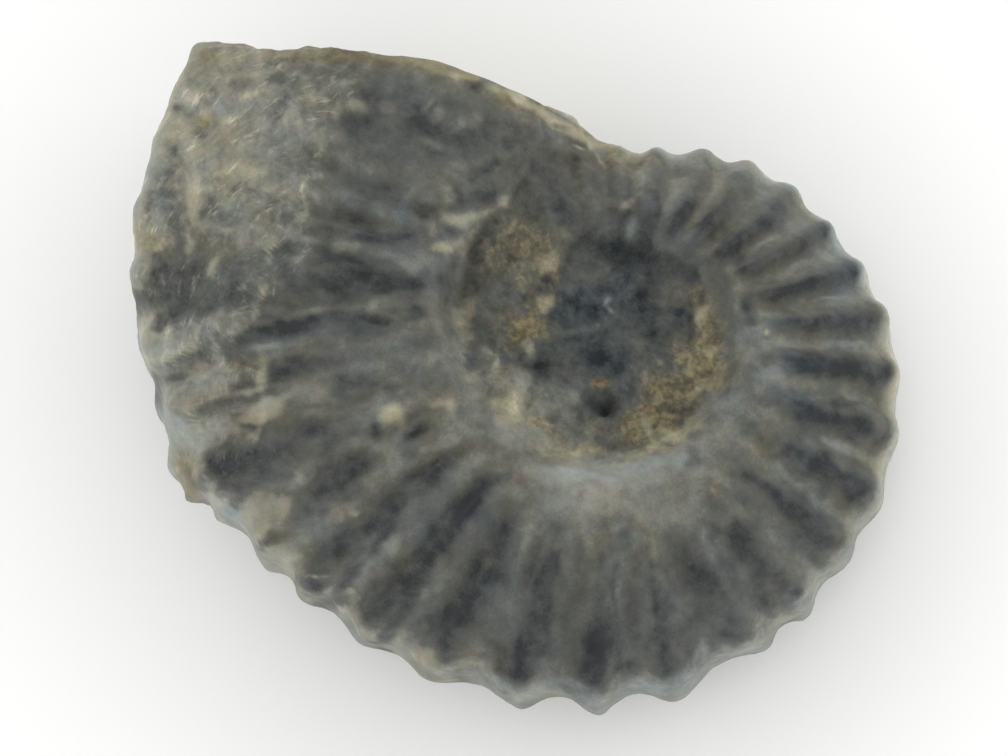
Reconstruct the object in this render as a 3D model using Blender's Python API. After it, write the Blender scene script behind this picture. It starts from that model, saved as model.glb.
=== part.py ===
"""Fossil ammonite: one coiled, ribbed shell turned to stone, lying on its side.

The shell and the rock that fills it are one solid. It is drawn on a polar
grid around the axis of the coil. Growth angles run clockwise as seen from
above, from 0 at the back, and radii are measured from the coil's axis.
Lengths are in millimetres until the mesh is made. The ribbed side that shows
is up, and the solid is turned a little so that it rests on its lower side.
"""

import math

import bmesh
import bpy
import numpy as np

MM = 0.001
FULL_TURN = 360.0

# Coil: short lists of (growth angle, length)
OUTER_RADIUS = (
    (-60.0, 8.9), (-30.0, 10.2), (0.0, 11.25), (18.0, 11.85), (42.0, 13.65), (67.0, 15.0),
    (87.0, 16.15), (105.0, 16.95), (126.0, 17.45), (150.0, 18.0), (167.0, 19.05), (180.0, 19.3),
    (193.0, 19.5), (206.0, 19.75), (218.0, 19.9), (229.0, 20.3), (238.0, 20.8), (244.0, 21.2),
    (250.0, 21.9), (256.0, 22.15), (265.0, 23.2), (273.0, 24.5), (281.0, 25.4), (291.0, 26.1),
    (301.0, 26.7), (309.0, 27.4), (370.0, 30.0),
)
RIM_RADIUS = (
    (-60.0, 4.2), (-36.0, 4.8), (0.0, 5.8), (30.0, 6.3), (60.0, 6.8), (90.0, 7.0),
    (180.0, 7.1), (250.0, 7.0), (300.0, 8.2), (324.0, 8.7), (343.0, 10.0), (370.0, 10.3),
)
CREST_HEIGHT = (
    (-40.0, 3.7), (0.0, 4.2), (45.0, 4.9), (90.0, 5.15), (135.0, 5.35), (180.0, 5.9),
    (225.0, 6.4), (270.0, 6.8), (300.0, 6.7), (320.0, 6.1), (343.0, 5.3), (370.0, 4.8),
)
SHOULDER_SHARE = 0.143
FLANK_CURVE = 1.8
WALL_INSIDE = 0.5
WALL_OUTSIDE = 1.5

# Ribs: growth angle of each crest where it reaches the outer shoulder
RIBS = (
    -27.0, -15.5, -4.0, 7.0, 17.2, 28.5, 39.5, 50.7, 61.9, 72.9, 83.3, 95.0, 106.5, 118.0,
    129.5, 141.0, 153.0, 167.0, 180.5, 193.5, 206.0, 217.5, 229.5, 238.5, 250.0, 260.5,
    269.0, 278.0, 287.0, 295.5, 304.5, 316.0, 329.0, 344.5, 356.0, 367.0,
)
RIB_LEAN = (
    (-60.0, 5.0), (5.0, 6.0), (20.0, 7.2), (45.0, 7.7), (65.0, 4.8), (100.0, 3.3), (150.0, 3.3),
    (167.0, -1.4), (182.0, -4.3), (230.0, -3.5), (240.0, 1.0), (250.0, 0.0), (260.5, 3.0),
    (269.0, 7.0), (278.0, 7.0), (287.0, 8.0), (300.0, 6.0), (370.0, 0.0),
)
RIB_HEIGHT = (
    (-60.0, 0.38), (0.0, 0.5), (60.0, 0.65), (100.0, 0.7), (180.0, 0.75), (230.0, 0.75), (270.0, 0.6),
    (300.0, 0.45), (325.0, 0.3), (340.0, 0.0), (370.0, 0.0),
)
RIB_START = (
    (-60.0, 0.0), (60.0, 0.03), (90.0, 0.15), (120.0, 0.25), (150.0, 0.3), (180.0, 0.22),
    (215.0, 0.1), (250.0, 0.06), (370.0, 0.06),
)
RIB_RISE = 0.28
RIB_FADE_ANGLE = (272.0, 290.0)
RIB_FADE_PLACE = (0.5, 0.75)
RIB_MIDDLE = 0.6

# Nodes: how far each rib's end stands out from the furrows beside it
NODE_REACH = (
    (-60.0, 0.25), (0.0, 0.33), (60.0, 0.3), (100.0, 0.29), (128.0, 0.38), (150.0, 0.62),
    (185.0, 0.9), (205.0, 0.62), (225.0, 0.5), (250.0, 0.52), (278.0, 0.35), (292.0, 0.1),
    (300.0, 0.0), (370.0, 0.0),
)
NODE_SHARPNESS = 1.5
NODE_MIDDLE = 0.5
NODE_RISE = 0.3

# Outer edge between the two rows of nodes; the lower row stands a little back and further out
LOWER_NODES_BACK = (
    (-60.0, 4.0), (80.0, 4.0), (105.0, 2.0), (140.0, 1.0), (150.0, 4.0), (165.0, 1.2),
    (195.0, 1.5), (206.0, -1.2), (230.0, -0.8), (240.0, 1.5), (370.0, 1.5),
)
LOWER_REACH = (
    (-60.0, 0.0), (100.0, 0.1), (118.0, 0.2), (130.0, 0.0), (143.0, 0.35), (155.0, 0.0),
    (235.0, 0.0), (248.0, 0.35), (256.0, 0.0), (370.0, 0.0),
)
VENTER_SWELL = 0.18
SHOULDER_INSET = 0.03
SHOULDER_DROP = 0.2

# Remains of the outer shell layer: a tongue that stands out below the upper shoulder
TONGUE_REACH = 1.4
TONGUE_ABOVE = 0.2
TONGUE_START = (249.0, 252.5)
TONGUE_END = (256.0, 284.0)

# Broken mouth: its edge runs from the far corner back to where the thin whorl comes out
BREAK_EDGE = (
    (296.0, 34.0), (307.5, 27.2), (311.0, 24.7), (320.4, 20.65), (331.3, 17.3), (336.8, 15.8),
    (347.6, 13.6), (355.0, 12.75), (362.3, 12.0), (367.0, 11.6), (370.0, 11.4),
)
BREAK_ANGLE = (304.0, 310.0)
BREAK_ROUNDING = 0.25
BREAK_HOLLOW = 0.5
BREAK_END = (352.0, 364.0)
REMNANT_ANGLE = (328.0, 366.0)
UNCOVERED_ANGLE = (335.0, 364.0)
THIN_WHORL_START = 330.0
RIM_JOIN = (346.0, 366.0)

# Rock in the umbilicus
FILL_HEIGHT = 3.5
FILL_DISH = 0.02
FILL_REACH = 7.0
FILL_SLOPE = 0.1
LUMP_HEIGHT = 0.2
LUMP_ACROSS = (1.1, 0.6)
LUMP_ALONG = (0.9, -0.4)
SMALL_LUMP_SHARE = 0.5
SMALL_LUMP = (1.9, -1.3, 1.0)
PIT_PLACE = (0.7, -2.7)
PIT_RADIUS = 0.9
PIT_DEPTH = 0.6

# Rest: the turn that lays the lower side flat, and how much of it is worn flat
LEAN_ACROSS = 5.0
LEAN_ALONG = 0.55
REST_HEIGHT = 5.7
BOX_CENTRE = (-3.997, -1.659)

# Grid
COLUMNS_PER_RIB = 6
FIRST_RIB = 3
FLANK_PLACES = (0.0, 0.09, 0.2, 0.34, 0.5, 0.66, 0.8, 0.92)
FILL_RINGS = ((8, 0.3), (4, 0.58), (2, 0.82))

STONE_COLOUR = (0.105, 0.1, 0.092, 1.0)
STONE_ROUGHNESS = 0.6


def curve(points, place):
    """Smooth curve through a short list of (place, value) points."""
    known, value = np.array(points, float).T
    slope = np.gradient(value, known)
    place = np.clip(place, known[0], known[-1])
    low = np.clip(np.searchsorted(known, place, side="right") - 1, 0, len(known) - 2)
    span = known[low + 1] - known[low]
    part = (place - known[low]) / span
    rise = value[low + 1] - value[low]
    square = part * part
    cube = square * part
    return (
        value[low]
        + rise * (3.0 * square - 2.0 * cube)
        + span * slope[low] * (cube - 2.0 * square + part)
        + span * slope[low + 1] * (cube - square)
    )


def blend(value, start, end):
    """Rise smoothly from 0 at start to 1 at end."""
    part = np.clip((value - start) / (end - start), 0.0, 1.0)
    return part * part * (3.0 - 2.0 * part)


def rib_wave(growth, across):
    """Crest 1, furrow 0, at a growth angle and a share of the way across the flank."""
    lean = curve(RIB_LEAN, growth) * (1.0 - across)
    turns = np.interp(growth - lean, RIBS, np.arange(len(RIBS)))
    return 0.5 + 0.5 * np.cos(2.0 * math.pi * turns)


def whorl_radius(growth, below):
    """Outer radius of a whorl, with the ends of its ribs; below is 0 on top, 1 underneath."""
    back = below * curve(LOWER_NODES_BACK, growth)
    node = curve(NODE_REACH, growth) * (rib_wave(growth + back, 1.0) ** NODE_SHARPNESS - NODE_MIDDLE)
    tongue = blend(growth, *TONGUE_START) * (1.0 - blend(growth, *TONGUE_END))
    tongue = TONGUE_REACH * tongue * (TONGUE_ABOVE + (1.0 - TONGUE_ABOVE) * below)
    return curve(OUTER_RADIUS, growth) + below * curve(LOWER_REACH, growth) + node + tongue


def edge_radius(angle, below):
    """Outline of the fossil: the last whorl, its broken mouth, then the thin whorl."""
    whole = whorl_radius(angle, below)
    broken = curve(BREAK_EDGE, angle)
    gap = np.sqrt((whole - broken) ** 2 + BREAK_ROUNDING ** 2)
    last = np.where(angle > BREAK_EDGE[0][0], (whole + broken - gap) / 2.0, whole)
    thin = np.maximum(last, whorl_radius(angle - FULL_TURN, below))
    return np.where(angle > THIN_WHORL_START, thin, last)


def flank_height(growth, radius):
    """Height of a whorl's ribbed side above the median plane."""
    outer = curve(OUTER_RADIUS, growth)
    rim = curve(RIM_RADIUS, growth)
    across = np.clip((radius - rim) / (outer - rim), 0.0, 1.0)
    crest = curve(CREST_HEIGHT, growth)
    shoulder = SHOULDER_SHARE * outer
    fade = blend(growth, *RIB_FADE_ANGLE) * blend(across, *RIB_FADE_PLACE)
    start = curve(RIB_START, growth)
    strength = curve(RIB_HEIGHT, growth) * blend(across, start, start + RIB_RISE) * (1.0 - fade)
    rib = strength * (rib_wave(growth, across) - RIB_MIDDLE)
    return shoulder + (crest - shoulder) * (1.0 - across ** FLANK_CURVE) + rib


def wall_share(growth, radius):
    """0 in the umbilicus, 1 on the whorl beside it."""
    rim = curve(RIM_RADIUS, growth)
    return blend(radius, rim - WALL_INSIDE, rim + WALL_OUTSIDE)


def fill_height(x, y):
    """Uneven top of the rock that fills the umbilicus."""
    away = np.minimum(np.hypot(x, y), FILL_REACH)
    level = FILL_HEIGHT + FILL_DISH * away * away - FILL_SLOPE * x
    lump = np.sin(LUMP_ACROSS[0] * x + LUMP_ACROSS[1]) * np.sin(LUMP_ALONG[0] * y + LUMP_ALONG[1])
    small = np.sin(SMALL_LUMP[0] * x + SMALL_LUMP[1] * y + SMALL_LUMP[2])
    pit = 1.0 - blend(np.hypot(x - PIT_PLACE[0], y - PIT_PLACE[1]), 0.0, PIT_RADIUS)
    return level + LUMP_HEIGHT * (lump + SMALL_LUMP_SHARE * small) - PIT_DEPTH * pit


def side_height(angle, radius):
    """Height of the whole side: rock, thin whorl and last whorl where it remains."""
    turn = np.radians(angle)
    fill = fill_height(radius * np.sin(turn), radius * np.cos(turn))
    inner = angle - FULL_TURN
    thin = fill + (flank_height(inner, radius) - fill) * wall_share(inner, radius)
    under = fill + (thin - fill) * blend(angle, *UNCOVERED_ANGLE)
    remains = wall_share(angle, radius) * (1.0 - blend(angle, *REMNANT_ANGLE))
    return under + (flank_height(angle, radius) - under) * remains


def grid_angles():
    """Growth angle of each column, with one column on every rib's crest."""
    ribs = np.array(RIBS[FIRST_RIB:])
    steps = np.arange((len(ribs) - 1) * COLUMNS_PER_RIB) / COLUMNS_PER_RIB
    return np.interp(steps, np.arange(len(ribs)), ribs)


def grid_rim(angle):
    """Radius where the fine rings of the grid begin."""
    rim = curve(RIM_RADIUS, angle)
    thin = curve(RIM_RADIUS, angle - FULL_TURN)
    return rim + (thin - rim) * blend(angle, *RIM_JOIN)


def ring(angle, radius, height):
    """Points of one ring, as an array with a row for each column."""
    turn = np.radians(angle)
    return np.stack([radius * np.sin(turn), radius * np.cos(turn), height], axis=1)


def side_rings(angle, below):
    """Rings of one side, from the umbilicus out to the shoulder, as (stride, points)."""
    facing = 1.0 - 2.0 * below
    start = grid_rim(angle)
    end = edge_radius(angle, below)
    rings = []
    for stride, share in FILL_RINGS:
        part = angle[::stride]
        radius = share * start[::stride]
        rings.append((stride, ring(part, radius, facing * side_height(part, radius))))
    for share in FLANK_PLACES:
        radius = start + share * (end - start)
        rings.append((1, ring(angle, radius, facing * side_height(angle, radius))))
    inside = end - SHOULDER_INSET * (end - start)
    rise = NODE_RISE * curve(NODE_REACH, angle) * rib_wave(angle, 1.0)
    corner = side_height(angle, inside) - SHOULDER_DROP + rise
    rings.append((1, ring(angle, end, facing * corner)))
    return rings


def venter_ring(angle):
    """Ring along the middle of the outer edge: swollen on the shell, hollow on the break."""
    above = edge_radius(angle, 0.0)
    under = edge_radius(angle, 1.0)
    broken = blend(angle, *BREAK_ANGLE) * (1.0 - blend(angle, *BREAK_END))
    bulge = VENTER_SWELL - (BREAK_HOLLOW + VENTER_SWELL) * broken
    lower = 0.5 * (above + under) + bulge
    return ring(angle, lower, np.zeros(len(angle)))


def rest_on_plane(points):
    """Turn the solid onto its lower side, wear it flat there and centre it."""
    across = math.radians(LEAN_ACROSS)
    along = math.radians(LEAN_ALONG)
    x, y, z = points.T
    x, z = x * math.cos(across) + z * math.sin(across), z * math.cos(across) - x * math.sin(across)
    y, z = y * math.cos(along) - z * math.sin(along), z * math.cos(along) + y * math.sin(along)
    z = np.maximum(z + REST_HEIGHT, 0.0)
    return np.stack([x - BOX_CENTRE[0], y - BOX_CENTRE[1], z], axis=1)


def join_rings(mesh, inner, outer, flip):
    """Fill the band between two rings; the outer one may have twice as many points."""
    count = len(inner)
    double = len(outer) == 2 * count
    for index in range(count):
        following = (index + 1) % count
        if double:
            start, middle, end = outer[2 * index], outer[2 * index + 1], outer[2 * following]
            faces = [
                (inner[index], start, middle),
                (inner[index], middle, inner[following]),
                (inner[following], middle, end),
            ]
        else:
            faces = [
                (inner[index], outer[index], outer[following]),
                (inner[index], outer[following], inner[following]),
            ]
        for face in faces:
            mesh.faces.new(face[::-1] if flip else face)


def add_side(mesh, angle, below):
    """Build one side from its middle to the shoulder and return the shoulder's points."""
    rings = side_rings(angle, below)
    middle_height = (1.0 - 2.0 * below) * fill_height(0.0, 0.0)
    middle = mesh.verts.new(rest_on_plane(np.array([[0.0, 0.0, middle_height]]))[0] * MM)
    made = [[mesh.verts.new(point * MM) for point in rest_on_plane(points)] for _, points in rings]
    flip = below < 0.5
    first = made[0]
    for index, corner in enumerate(first):
        face = (middle, corner, first[(index + 1) % len(first)])
        mesh.faces.new(face[::-1] if flip else face)
    for inner, outer in zip(made, made[1:]):
        join_rings(mesh, inner, outer, flip)
    return made[-1]


def stone_material():
    """Dark grey-brown fossil stone."""
    material = bpy.data.materials.new("fossil_stone")
    material.use_nodes = True
    shader = material.node_tree.nodes["Principled BSDF"]
    shader.inputs["Base Color"].default_value = STONE_COLOUR
    shader.inputs["Roughness"].default_value = STONE_ROUGHNESS
    shader.inputs["Metallic"].default_value = 0.0
    return material


def make_ammonite():
    """Make the fossil as one closed solid."""
    angle = grid_angles()
    mesh = bmesh.new()
    above = add_side(mesh, angle, 0.0)
    under = add_side(mesh, angle, 1.0)
    middle = [mesh.verts.new(point * MM) for point in rest_on_plane(venter_ring(angle))]
    join_rings(mesh, above, middle, True)
    join_rings(mesh, under, middle, False)
    bmesh.ops.recalc_face_normals(mesh, faces=mesh.faces)
    data = bpy.data.meshes.new("ammonite")
    mesh.to_mesh(data)
    mesh.free()
    data.shade_smooth()
    data.materials.append(stone_material())
    fossil = bpy.data.objects.new("ammonite", data)
    bpy.context.scene.collection.objects.link(fossil)
    return fossil


def main():
    """Clear the scene and make the fossil."""
    for item in list(bpy.data.objects):
        bpy.data.objects.remove(item)
    make_ammonite()


main()
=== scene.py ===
"""Looks of a fossil ammonite that lies on its side on a pale floor.

The fossil is drawn once more on a fine polar grid around the axis of its coil,
from the same shape as its solid, with the relief, grain and stains of the real
stone. Lengths are in millimetres until a mesh is made, angles are in degrees,
and growth angles run clockwise as seen from above, from 0 at the back.
"""

import itertools
import logging
import math
from dataclasses import dataclass, replace
from enum import Enum
from typing import Any

import bpy
import numpy as np
from mathutils import Matrix, Vector


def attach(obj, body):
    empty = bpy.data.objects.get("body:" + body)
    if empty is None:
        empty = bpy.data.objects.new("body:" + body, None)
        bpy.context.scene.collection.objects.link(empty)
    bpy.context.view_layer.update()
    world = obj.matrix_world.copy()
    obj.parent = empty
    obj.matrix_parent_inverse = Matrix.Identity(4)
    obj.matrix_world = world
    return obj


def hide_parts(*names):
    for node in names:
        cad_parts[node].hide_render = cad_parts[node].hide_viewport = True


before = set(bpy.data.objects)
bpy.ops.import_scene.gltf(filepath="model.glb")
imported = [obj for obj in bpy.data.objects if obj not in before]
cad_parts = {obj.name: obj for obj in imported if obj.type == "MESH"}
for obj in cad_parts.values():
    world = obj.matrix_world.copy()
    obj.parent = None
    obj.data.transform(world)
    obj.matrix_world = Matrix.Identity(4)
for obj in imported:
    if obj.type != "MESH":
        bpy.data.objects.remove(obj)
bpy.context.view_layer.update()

LOG = logging.getLogger("fossil")
MM = 0.001
FULL_TURN = 360.0
MIDDLE = 0.5
BODY = "root"
NODE = "ammonite"

# Whole numbers that mix a cell's place into a random value.
CELL_PRIMES = (73856093, 19349663, 83492791)
SEED_PRIME = 2654435761
MIX_PRIMES = (2246822519, 3266489917)
WORD = 0xFFFFFFFF
SEED_STEP = 17.31
GRAIN_REACH = 0.85
GRAIN_SHADE_STEP = 7

Array = np.ndarray
Knots = tuple[tuple[float, float], ...]
Span = tuple[float, float]
Sways = tuple[tuple[str, float], ...]
Rings = list[tuple[int, Array]]
Tree = bpy.types.NodeTree
Socket = bpy.types.NodeSocket


def curve(knots: Knots, place: Array) -> Array:
    """Read a smooth curve through a short list of points.

    Args:
        knots: (place, value) points in rising order of place.
        place: Where to read the curve.

    Returns:
        The curve's values; beyond its ends it keeps its end values.
    """
    known, value = np.array(knots, float).T
    slope = np.gradient(value, known)
    place = np.clip(place, known[0], known[-1])
    low = np.clip(np.searchsorted(known, place, side="right") - 1, 0, len(known) - 2)
    span = known[low + 1] - known[low]
    part = (place - known[low]) / span
    rise = value[low + 1] - value[low]
    square = part * part
    cube = square * part
    return (
        value[low]
        + rise * (3.0 * square - 2.0 * cube)
        + span * slope[low] * (cube - 2.0 * square + part)
        + span * slope[low + 1] * (cube - square)
    )


def blend(value: Array, start: Array | float, end: Array | float) -> Array:
    """Rise smoothly from 0 where value is start to 1 where it is end."""
    part = np.clip((value - start) / (end - start), 0.0, 1.0)
    return part * part * (3.0 - 2.0 * part)


def chance(cell: Array, seed: int) -> Array:
    """Give each whole-number cell a fixed random value.

    Args:
        cell: Whole numbers, three to a row.
        seed: Picks one set of values out of many.

    Returns:
        A value between 0 and 1 for each row.
    """
    mixed = np.full(cell.shape[:-1], seed * SEED_PRIME, np.int64)
    for axis, prime in enumerate(CELL_PRIMES):
        mixed ^= cell[..., axis] * prime
    mixed &= WORD
    for _ in range(2):
        mixed = ((mixed ^ (mixed >> 15)) * MIX_PRIMES[0]) & WORD
        mixed = ((mixed ^ (mixed >> 13)) * MIX_PRIMES[1]) & WORD
    return ((mixed ^ (mixed >> 16)) & WORD) / float(WORD)


def noise(points: Array, size: float, seed: int) -> Array:
    """Smooth random field.

    Args:
        points: Places in millimetres, three to a row.
        size: Width of one lump in millimetres.
        seed: Picks one field out of many.

    Returns:
        Values between -1 and 1.
    """
    place = points / size + SEED_STEP * seed
    base = np.floor(place).astype(np.int64)
    part = place - base
    part = part * part * (3.0 - 2.0 * part)
    total = np.zeros(len(points))
    for corner in itertools.product((0, 1), repeat=3):
        weight = np.ones(len(points))
        for axis, step in enumerate(corner):
            weight = weight * (part[:, axis] if step else 1.0 - part[:, axis])
        total += weight * chance(base + np.array(corner), seed)
    return 2.0 * total - 1.0


def grains(points: Array, size: float, seed: int) -> tuple[Array, Array]:
    """Field of separate rounded grains.

    Args:
        points: Places in millimetres, three to a row.
        size: Width of one grain in millimetres.
        seed: Picks one field out of many.

    Returns:
        The height of the grain at each place, from 0 to 1, and a random value for that grain.
    """
    place = points / size
    base = np.floor(place).astype(np.int64)
    nearest = np.full(len(points), np.inf)
    shade = np.zeros(len(points))
    for step in itertools.product((-1, 0, 1), repeat=3):
        cell = base + np.array(step)
        centre = cell + np.stack([chance(cell, seed + axis) for axis in range(3)], axis=1)
        away = np.linalg.norm(place - centre, axis=1)
        closer = away < nearest
        nearest = np.where(closer, away, nearest)
        shade = np.where(closer, chance(cell, seed + GRAIN_SHADE_STEP), shade)
    return 1.0 - blend(nearest, 0.0, GRAIN_REACH), shade


@dataclass(frozen=True)
class Pattern:
    """Random pattern: its largest lumps in millimetres, octaves, seed and strength."""

    size: float
    octaves: int
    seed: int
    strength: float = 1.0

    def at(self, points: Array) -> Array:
        """Read the pattern, a sum of fields each half the size and strength of the last.

        Args:
            points: Places in millimetres, three to a row.

        Returns:
            Values that stay mostly between minus and plus the strength.
        """
        total = np.zeros(len(points))
        for octave in range(self.octaves):
            part = 0.5 ** octave
            total += part * noise(points, self.size * part, self.seed + octave)
        return self.strength * total


@dataclass(frozen=True)
class Viewpoint:
    """The photograph's viewpoint, as seen from the coil's own frame."""

    elevation: float = 76.0
    pixels_to_mm: float = 18.3
    axis_pixel: tuple[float, float] = (592.0, 357.0)
    middle_pixel: tuple[float, float] = (504.0, 378.0)
    lens: float = 200.0
    sensor: float = 36.0
    picture_width: float = 1008.0

    def picture(self, points: Array) -> tuple[Array, Array]:
        """Find where points of the coil's frame show in the photograph.

        Args:
            points: Places in millimetres, three to a row.

        Returns:
            The column and the row of each point, in pixels.
        """
        tilt = math.radians(self.elevation)
        across, above = self.aim()
        east = points[:, 0] - across
        up = points[:, 1] * math.sin(tilt) + points[:, 2] * math.cos(tilt) - above
        near = points[:, 2] * math.sin(tilt) - points[:, 1] * math.cos(tilt)
        scale = self.focal() / (self.distance() - near)
        return self.middle_pixel[0] + east * scale, self.middle_pixel[1] - up * scale

    def focal(self) -> float:
        """Focal length in pixels of the photograph."""
        return self.lens / self.sensor * self.picture_width

    def distance(self) -> float:
        """Distance from the camera to the place that it looks at, in millimetres."""
        return self.focal() / self.pixels_to_mm

    def aim(self) -> tuple[float, float]:
        """Find the place that the camera looks at.

        Returns:
            How far it is right of the coil's axis and above it, in millimetres.
        """
        right = self.middle_pixel[0] - self.axis_pixel[0]
        above = self.axis_pixel[1] - self.middle_pixel[1]
        return right / self.pixels_to_mm, above / self.pixels_to_mm


@dataclass(frozen=True)
class Rest:
    """How the fossil lies: the turn that lays its lower side flat, and its place."""

    lean_across: float = 5.0
    lean_along: float = 0.55
    height: float = 5.7
    box_centre: tuple[float, float] = (-3.997, -1.659)

    def lay(self, points: Array) -> Array:
        """Turn points from the coil's frame to where they lie, worn flat on the floor.

        Args:
            points: Places in millimetres, three to a row.

        Returns:
            The places in the frame of the lying fossil, none below the floor.
        """
        turned = points @ np.array(self.turn())[:3, :3].T
        laid = turned + np.array([-self.box_centre[0], -self.box_centre[1], self.height])
        laid[:, 2] = np.maximum(laid[:, 2], 0.0)
        return laid

    def turn(self) -> Matrix:
        """Rotation from the coil's frame to the lying fossil."""
        along = Matrix.Rotation(math.radians(self.lean_along), 4, "X")
        return along @ Matrix.Rotation(math.radians(self.lean_across), 4, "Y")

    def shift(self) -> Vector:
        """Place of the coil's centre in the lying fossil, in metres."""
        return Vector((-self.box_centre[0], -self.box_centre[1], self.height)) * MM


@dataclass(frozen=True)
class Coil:
    """Shape of the shell: radii and heights by growth angle, and the ribs' places."""

    outer_radius: Knots = (
        (-60.0, 8.9), (-30.0, 10.2), (0.0, 11.25), (18.0, 11.85), (42.0, 13.65), (67.0, 15.0),
        (87.0, 16.15), (105.0, 16.95), (126.0, 17.45), (150.0, 18.0), (167.0, 19.05), (180.0, 19.3),
        (193.0, 19.5), (206.0, 19.75), (218.0, 19.9), (229.0, 20.3), (238.0, 20.8), (244.0, 21.2),
        (250.0, 21.9), (256.0, 22.15), (265.0, 23.2), (273.0, 24.5), (281.0, 25.4), (291.0, 26.1),
        (301.0, 26.7), (309.0, 27.4), (370.0, 30.0),
    )
    rim_radius: Knots = (
        (-60.0, 4.2), (-36.0, 4.8), (0.0, 5.8), (30.0, 6.3), (60.0, 6.8), (90.0, 7.0),
        (180.0, 7.1), (250.0, 7.0), (300.0, 8.2), (324.0, 8.7), (343.0, 10.0), (370.0, 10.3),
    )
    crest_height: Knots = (
        (-40.0, 3.7), (0.0, 4.2), (45.0, 4.9), (90.0, 5.15), (135.0, 5.35), (180.0, 5.9),
        (225.0, 6.4), (270.0, 6.8), (300.0, 6.7), (320.0, 6.1), (343.0, 5.3), (370.0, 4.8),
    )
    shoulder_share: float = 0.143
    flank_curve: float = 1.8
    wall: Span = (0.5, 1.5)
    ribs: tuple[float, ...] = (
        -27.0, -15.5, -4.0, 7.0, 17.2, 28.5, 39.5, 50.7, 61.9, 72.9, 83.3, 95.0, 106.5, 118.0,
        129.5, 141.0, 153.0, 167.0, 180.5, 193.5, 206.0, 217.5, 229.5, 238.5, 250.0, 260.5,
        269.0, 278.0, 287.0, 295.5, 304.5, 316.0, 329.0, 344.5, 356.0, 367.0,
    )
    rib_lean: Knots = (
        (-60.0, 5.0), (5.0, 6.0), (20.0, 7.2), (45.0, 7.7), (65.0, 4.8), (100.0, 3.3), (150.0, 3.3),
        (167.0, -1.4), (182.0, -4.3), (230.0, -3.5), (240.0, 1.0), (250.0, 0.0), (260.5, 3.0),
        (269.0, 7.0), (278.0, 7.0), (287.0, 8.0), (300.0, 6.0), (370.0, 0.0),
    )
    rib_height: Knots = (
        (-60.0, 0.38), (0.0, 0.5), (60.0, 0.65), (100.0, 0.7), (180.0, 0.75), (230.0, 0.75),
        (270.0, 0.6), (300.0, 0.45), (325.0, 0.3), (340.0, 0.0), (370.0, 0.0),
    )
    rib_start: Knots = (
        (-60.0, 0.0), (60.0, 0.03), (90.0, 0.15), (120.0, 0.25), (150.0, 0.3), (180.0, 0.22),
        (215.0, 0.1), (250.0, 0.06), (370.0, 0.06),
    )
    rib_rise: float = 0.28
    rib_fade_angle: Span = (272.0, 290.0)
    rib_fade_place: Span = (0.5, 0.75)
    rib_middle: float = 0.6
    node_reach: Knots = (
        (-60.0, 0.25), (0.0, 0.33), (60.0, 0.3), (100.0, 0.29), (128.0, 0.38), (150.0, 0.62),
        (185.0, 0.9), (205.0, 0.62), (225.0, 0.5), (250.0, 0.52), (278.0, 0.35), (292.0, 0.1),
        (300.0, 0.0), (370.0, 0.0),
    )
    node_sharpness: float = 1.5
    node_middle: float = 0.5
    lower_nodes_back: Knots = (
        (-60.0, 4.0), (80.0, 4.0), (105.0, 2.0), (140.0, 1.0), (150.0, 4.0), (165.0, 1.2),
        (195.0, 1.5), (206.0, -1.2), (230.0, -0.8), (240.0, 1.5), (370.0, 1.5),
    )
    lower_reach: Knots = (
        (-60.0, 0.0), (100.0, 0.1), (118.0, 0.2), (130.0, 0.0), (143.0, 0.35), (155.0, 0.0),
        (235.0, 0.0), (248.0, 0.35), (256.0, 0.0), (370.0, 0.0),
    )
    tongue_reach: float = 1.4
    tongue_above: float = 0.2
    tongue_start: Span = (249.3, 251.6)
    tongue_end: Span = (256.0, 284.0)
    break_edge: Knots = (
        (296.0, 34.0), (307.5, 27.2), (311.0, 24.7), (320.4, 20.65), (331.3, 17.3), (336.8, 15.8),
        (347.6, 13.6), (355.0, 12.75), (362.3, 12.0), (367.0, 11.6), (370.0, 11.4),
    )
    break_rounding: float = 0.25
    break_start: Span = (304.0, 310.0)
    break_end: Span = (352.0, 364.0)
    thin_whorl_start: float = 330.0
    rim_join: Span = (346.0, 366.0)
    remnant: Span = (328.0, 366.0)
    uncovered: Span = (335.0, 364.0)
    fill_height: float = 3.5
    fill_dish: float = 0.02
    fill_reach: float = 7.0
    fill_slope: float = 0.1
    fill_lump: float = 0.2

    def rib_turns(self, growth: Array, across: Array | float) -> Array:
        """Count of ribs up to a growth angle, a whole number on each crest."""
        lean = curve(self.rib_lean, growth) * (1.0 - across)
        return np.interp(growth - lean, self.ribs, np.arange(len(self.ribs)))

    def rib_wave(self, growth: Array, across: Array | float) -> Array:
        """Crest 1, furrow 0, at a growth angle and a share of the way across the flank."""
        return 0.5 + 0.5 * np.cos(2.0 * math.pi * self.rib_turns(growth, across))

    def whorl_radius(self, growth: Array, below: float) -> Array:
        """Find the outer radius of a whorl with the ends of its ribs.

        Args:
            growth: Growth angles.
            below: 0 for the upper shoulder, 1 for the lower one.

        Returns:
            The radius at each angle.
        """
        back = below * curve(self.lower_nodes_back, growth)
        wave = self.rib_wave(growth + back, 1.0) ** self.node_sharpness - self.node_middle
        tongue = blend(growth, *self.tongue_start) * (1.0 - blend(growth, *self.tongue_end))
        tongue = tongue * (self.tongue_above + (1.0 - self.tongue_above) * below)
        reach = curve(self.node_reach, growth) * wave + self.tongue_reach * tongue
        return curve(self.outer_radius, growth) + below * curve(self.lower_reach, growth) + reach

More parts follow.
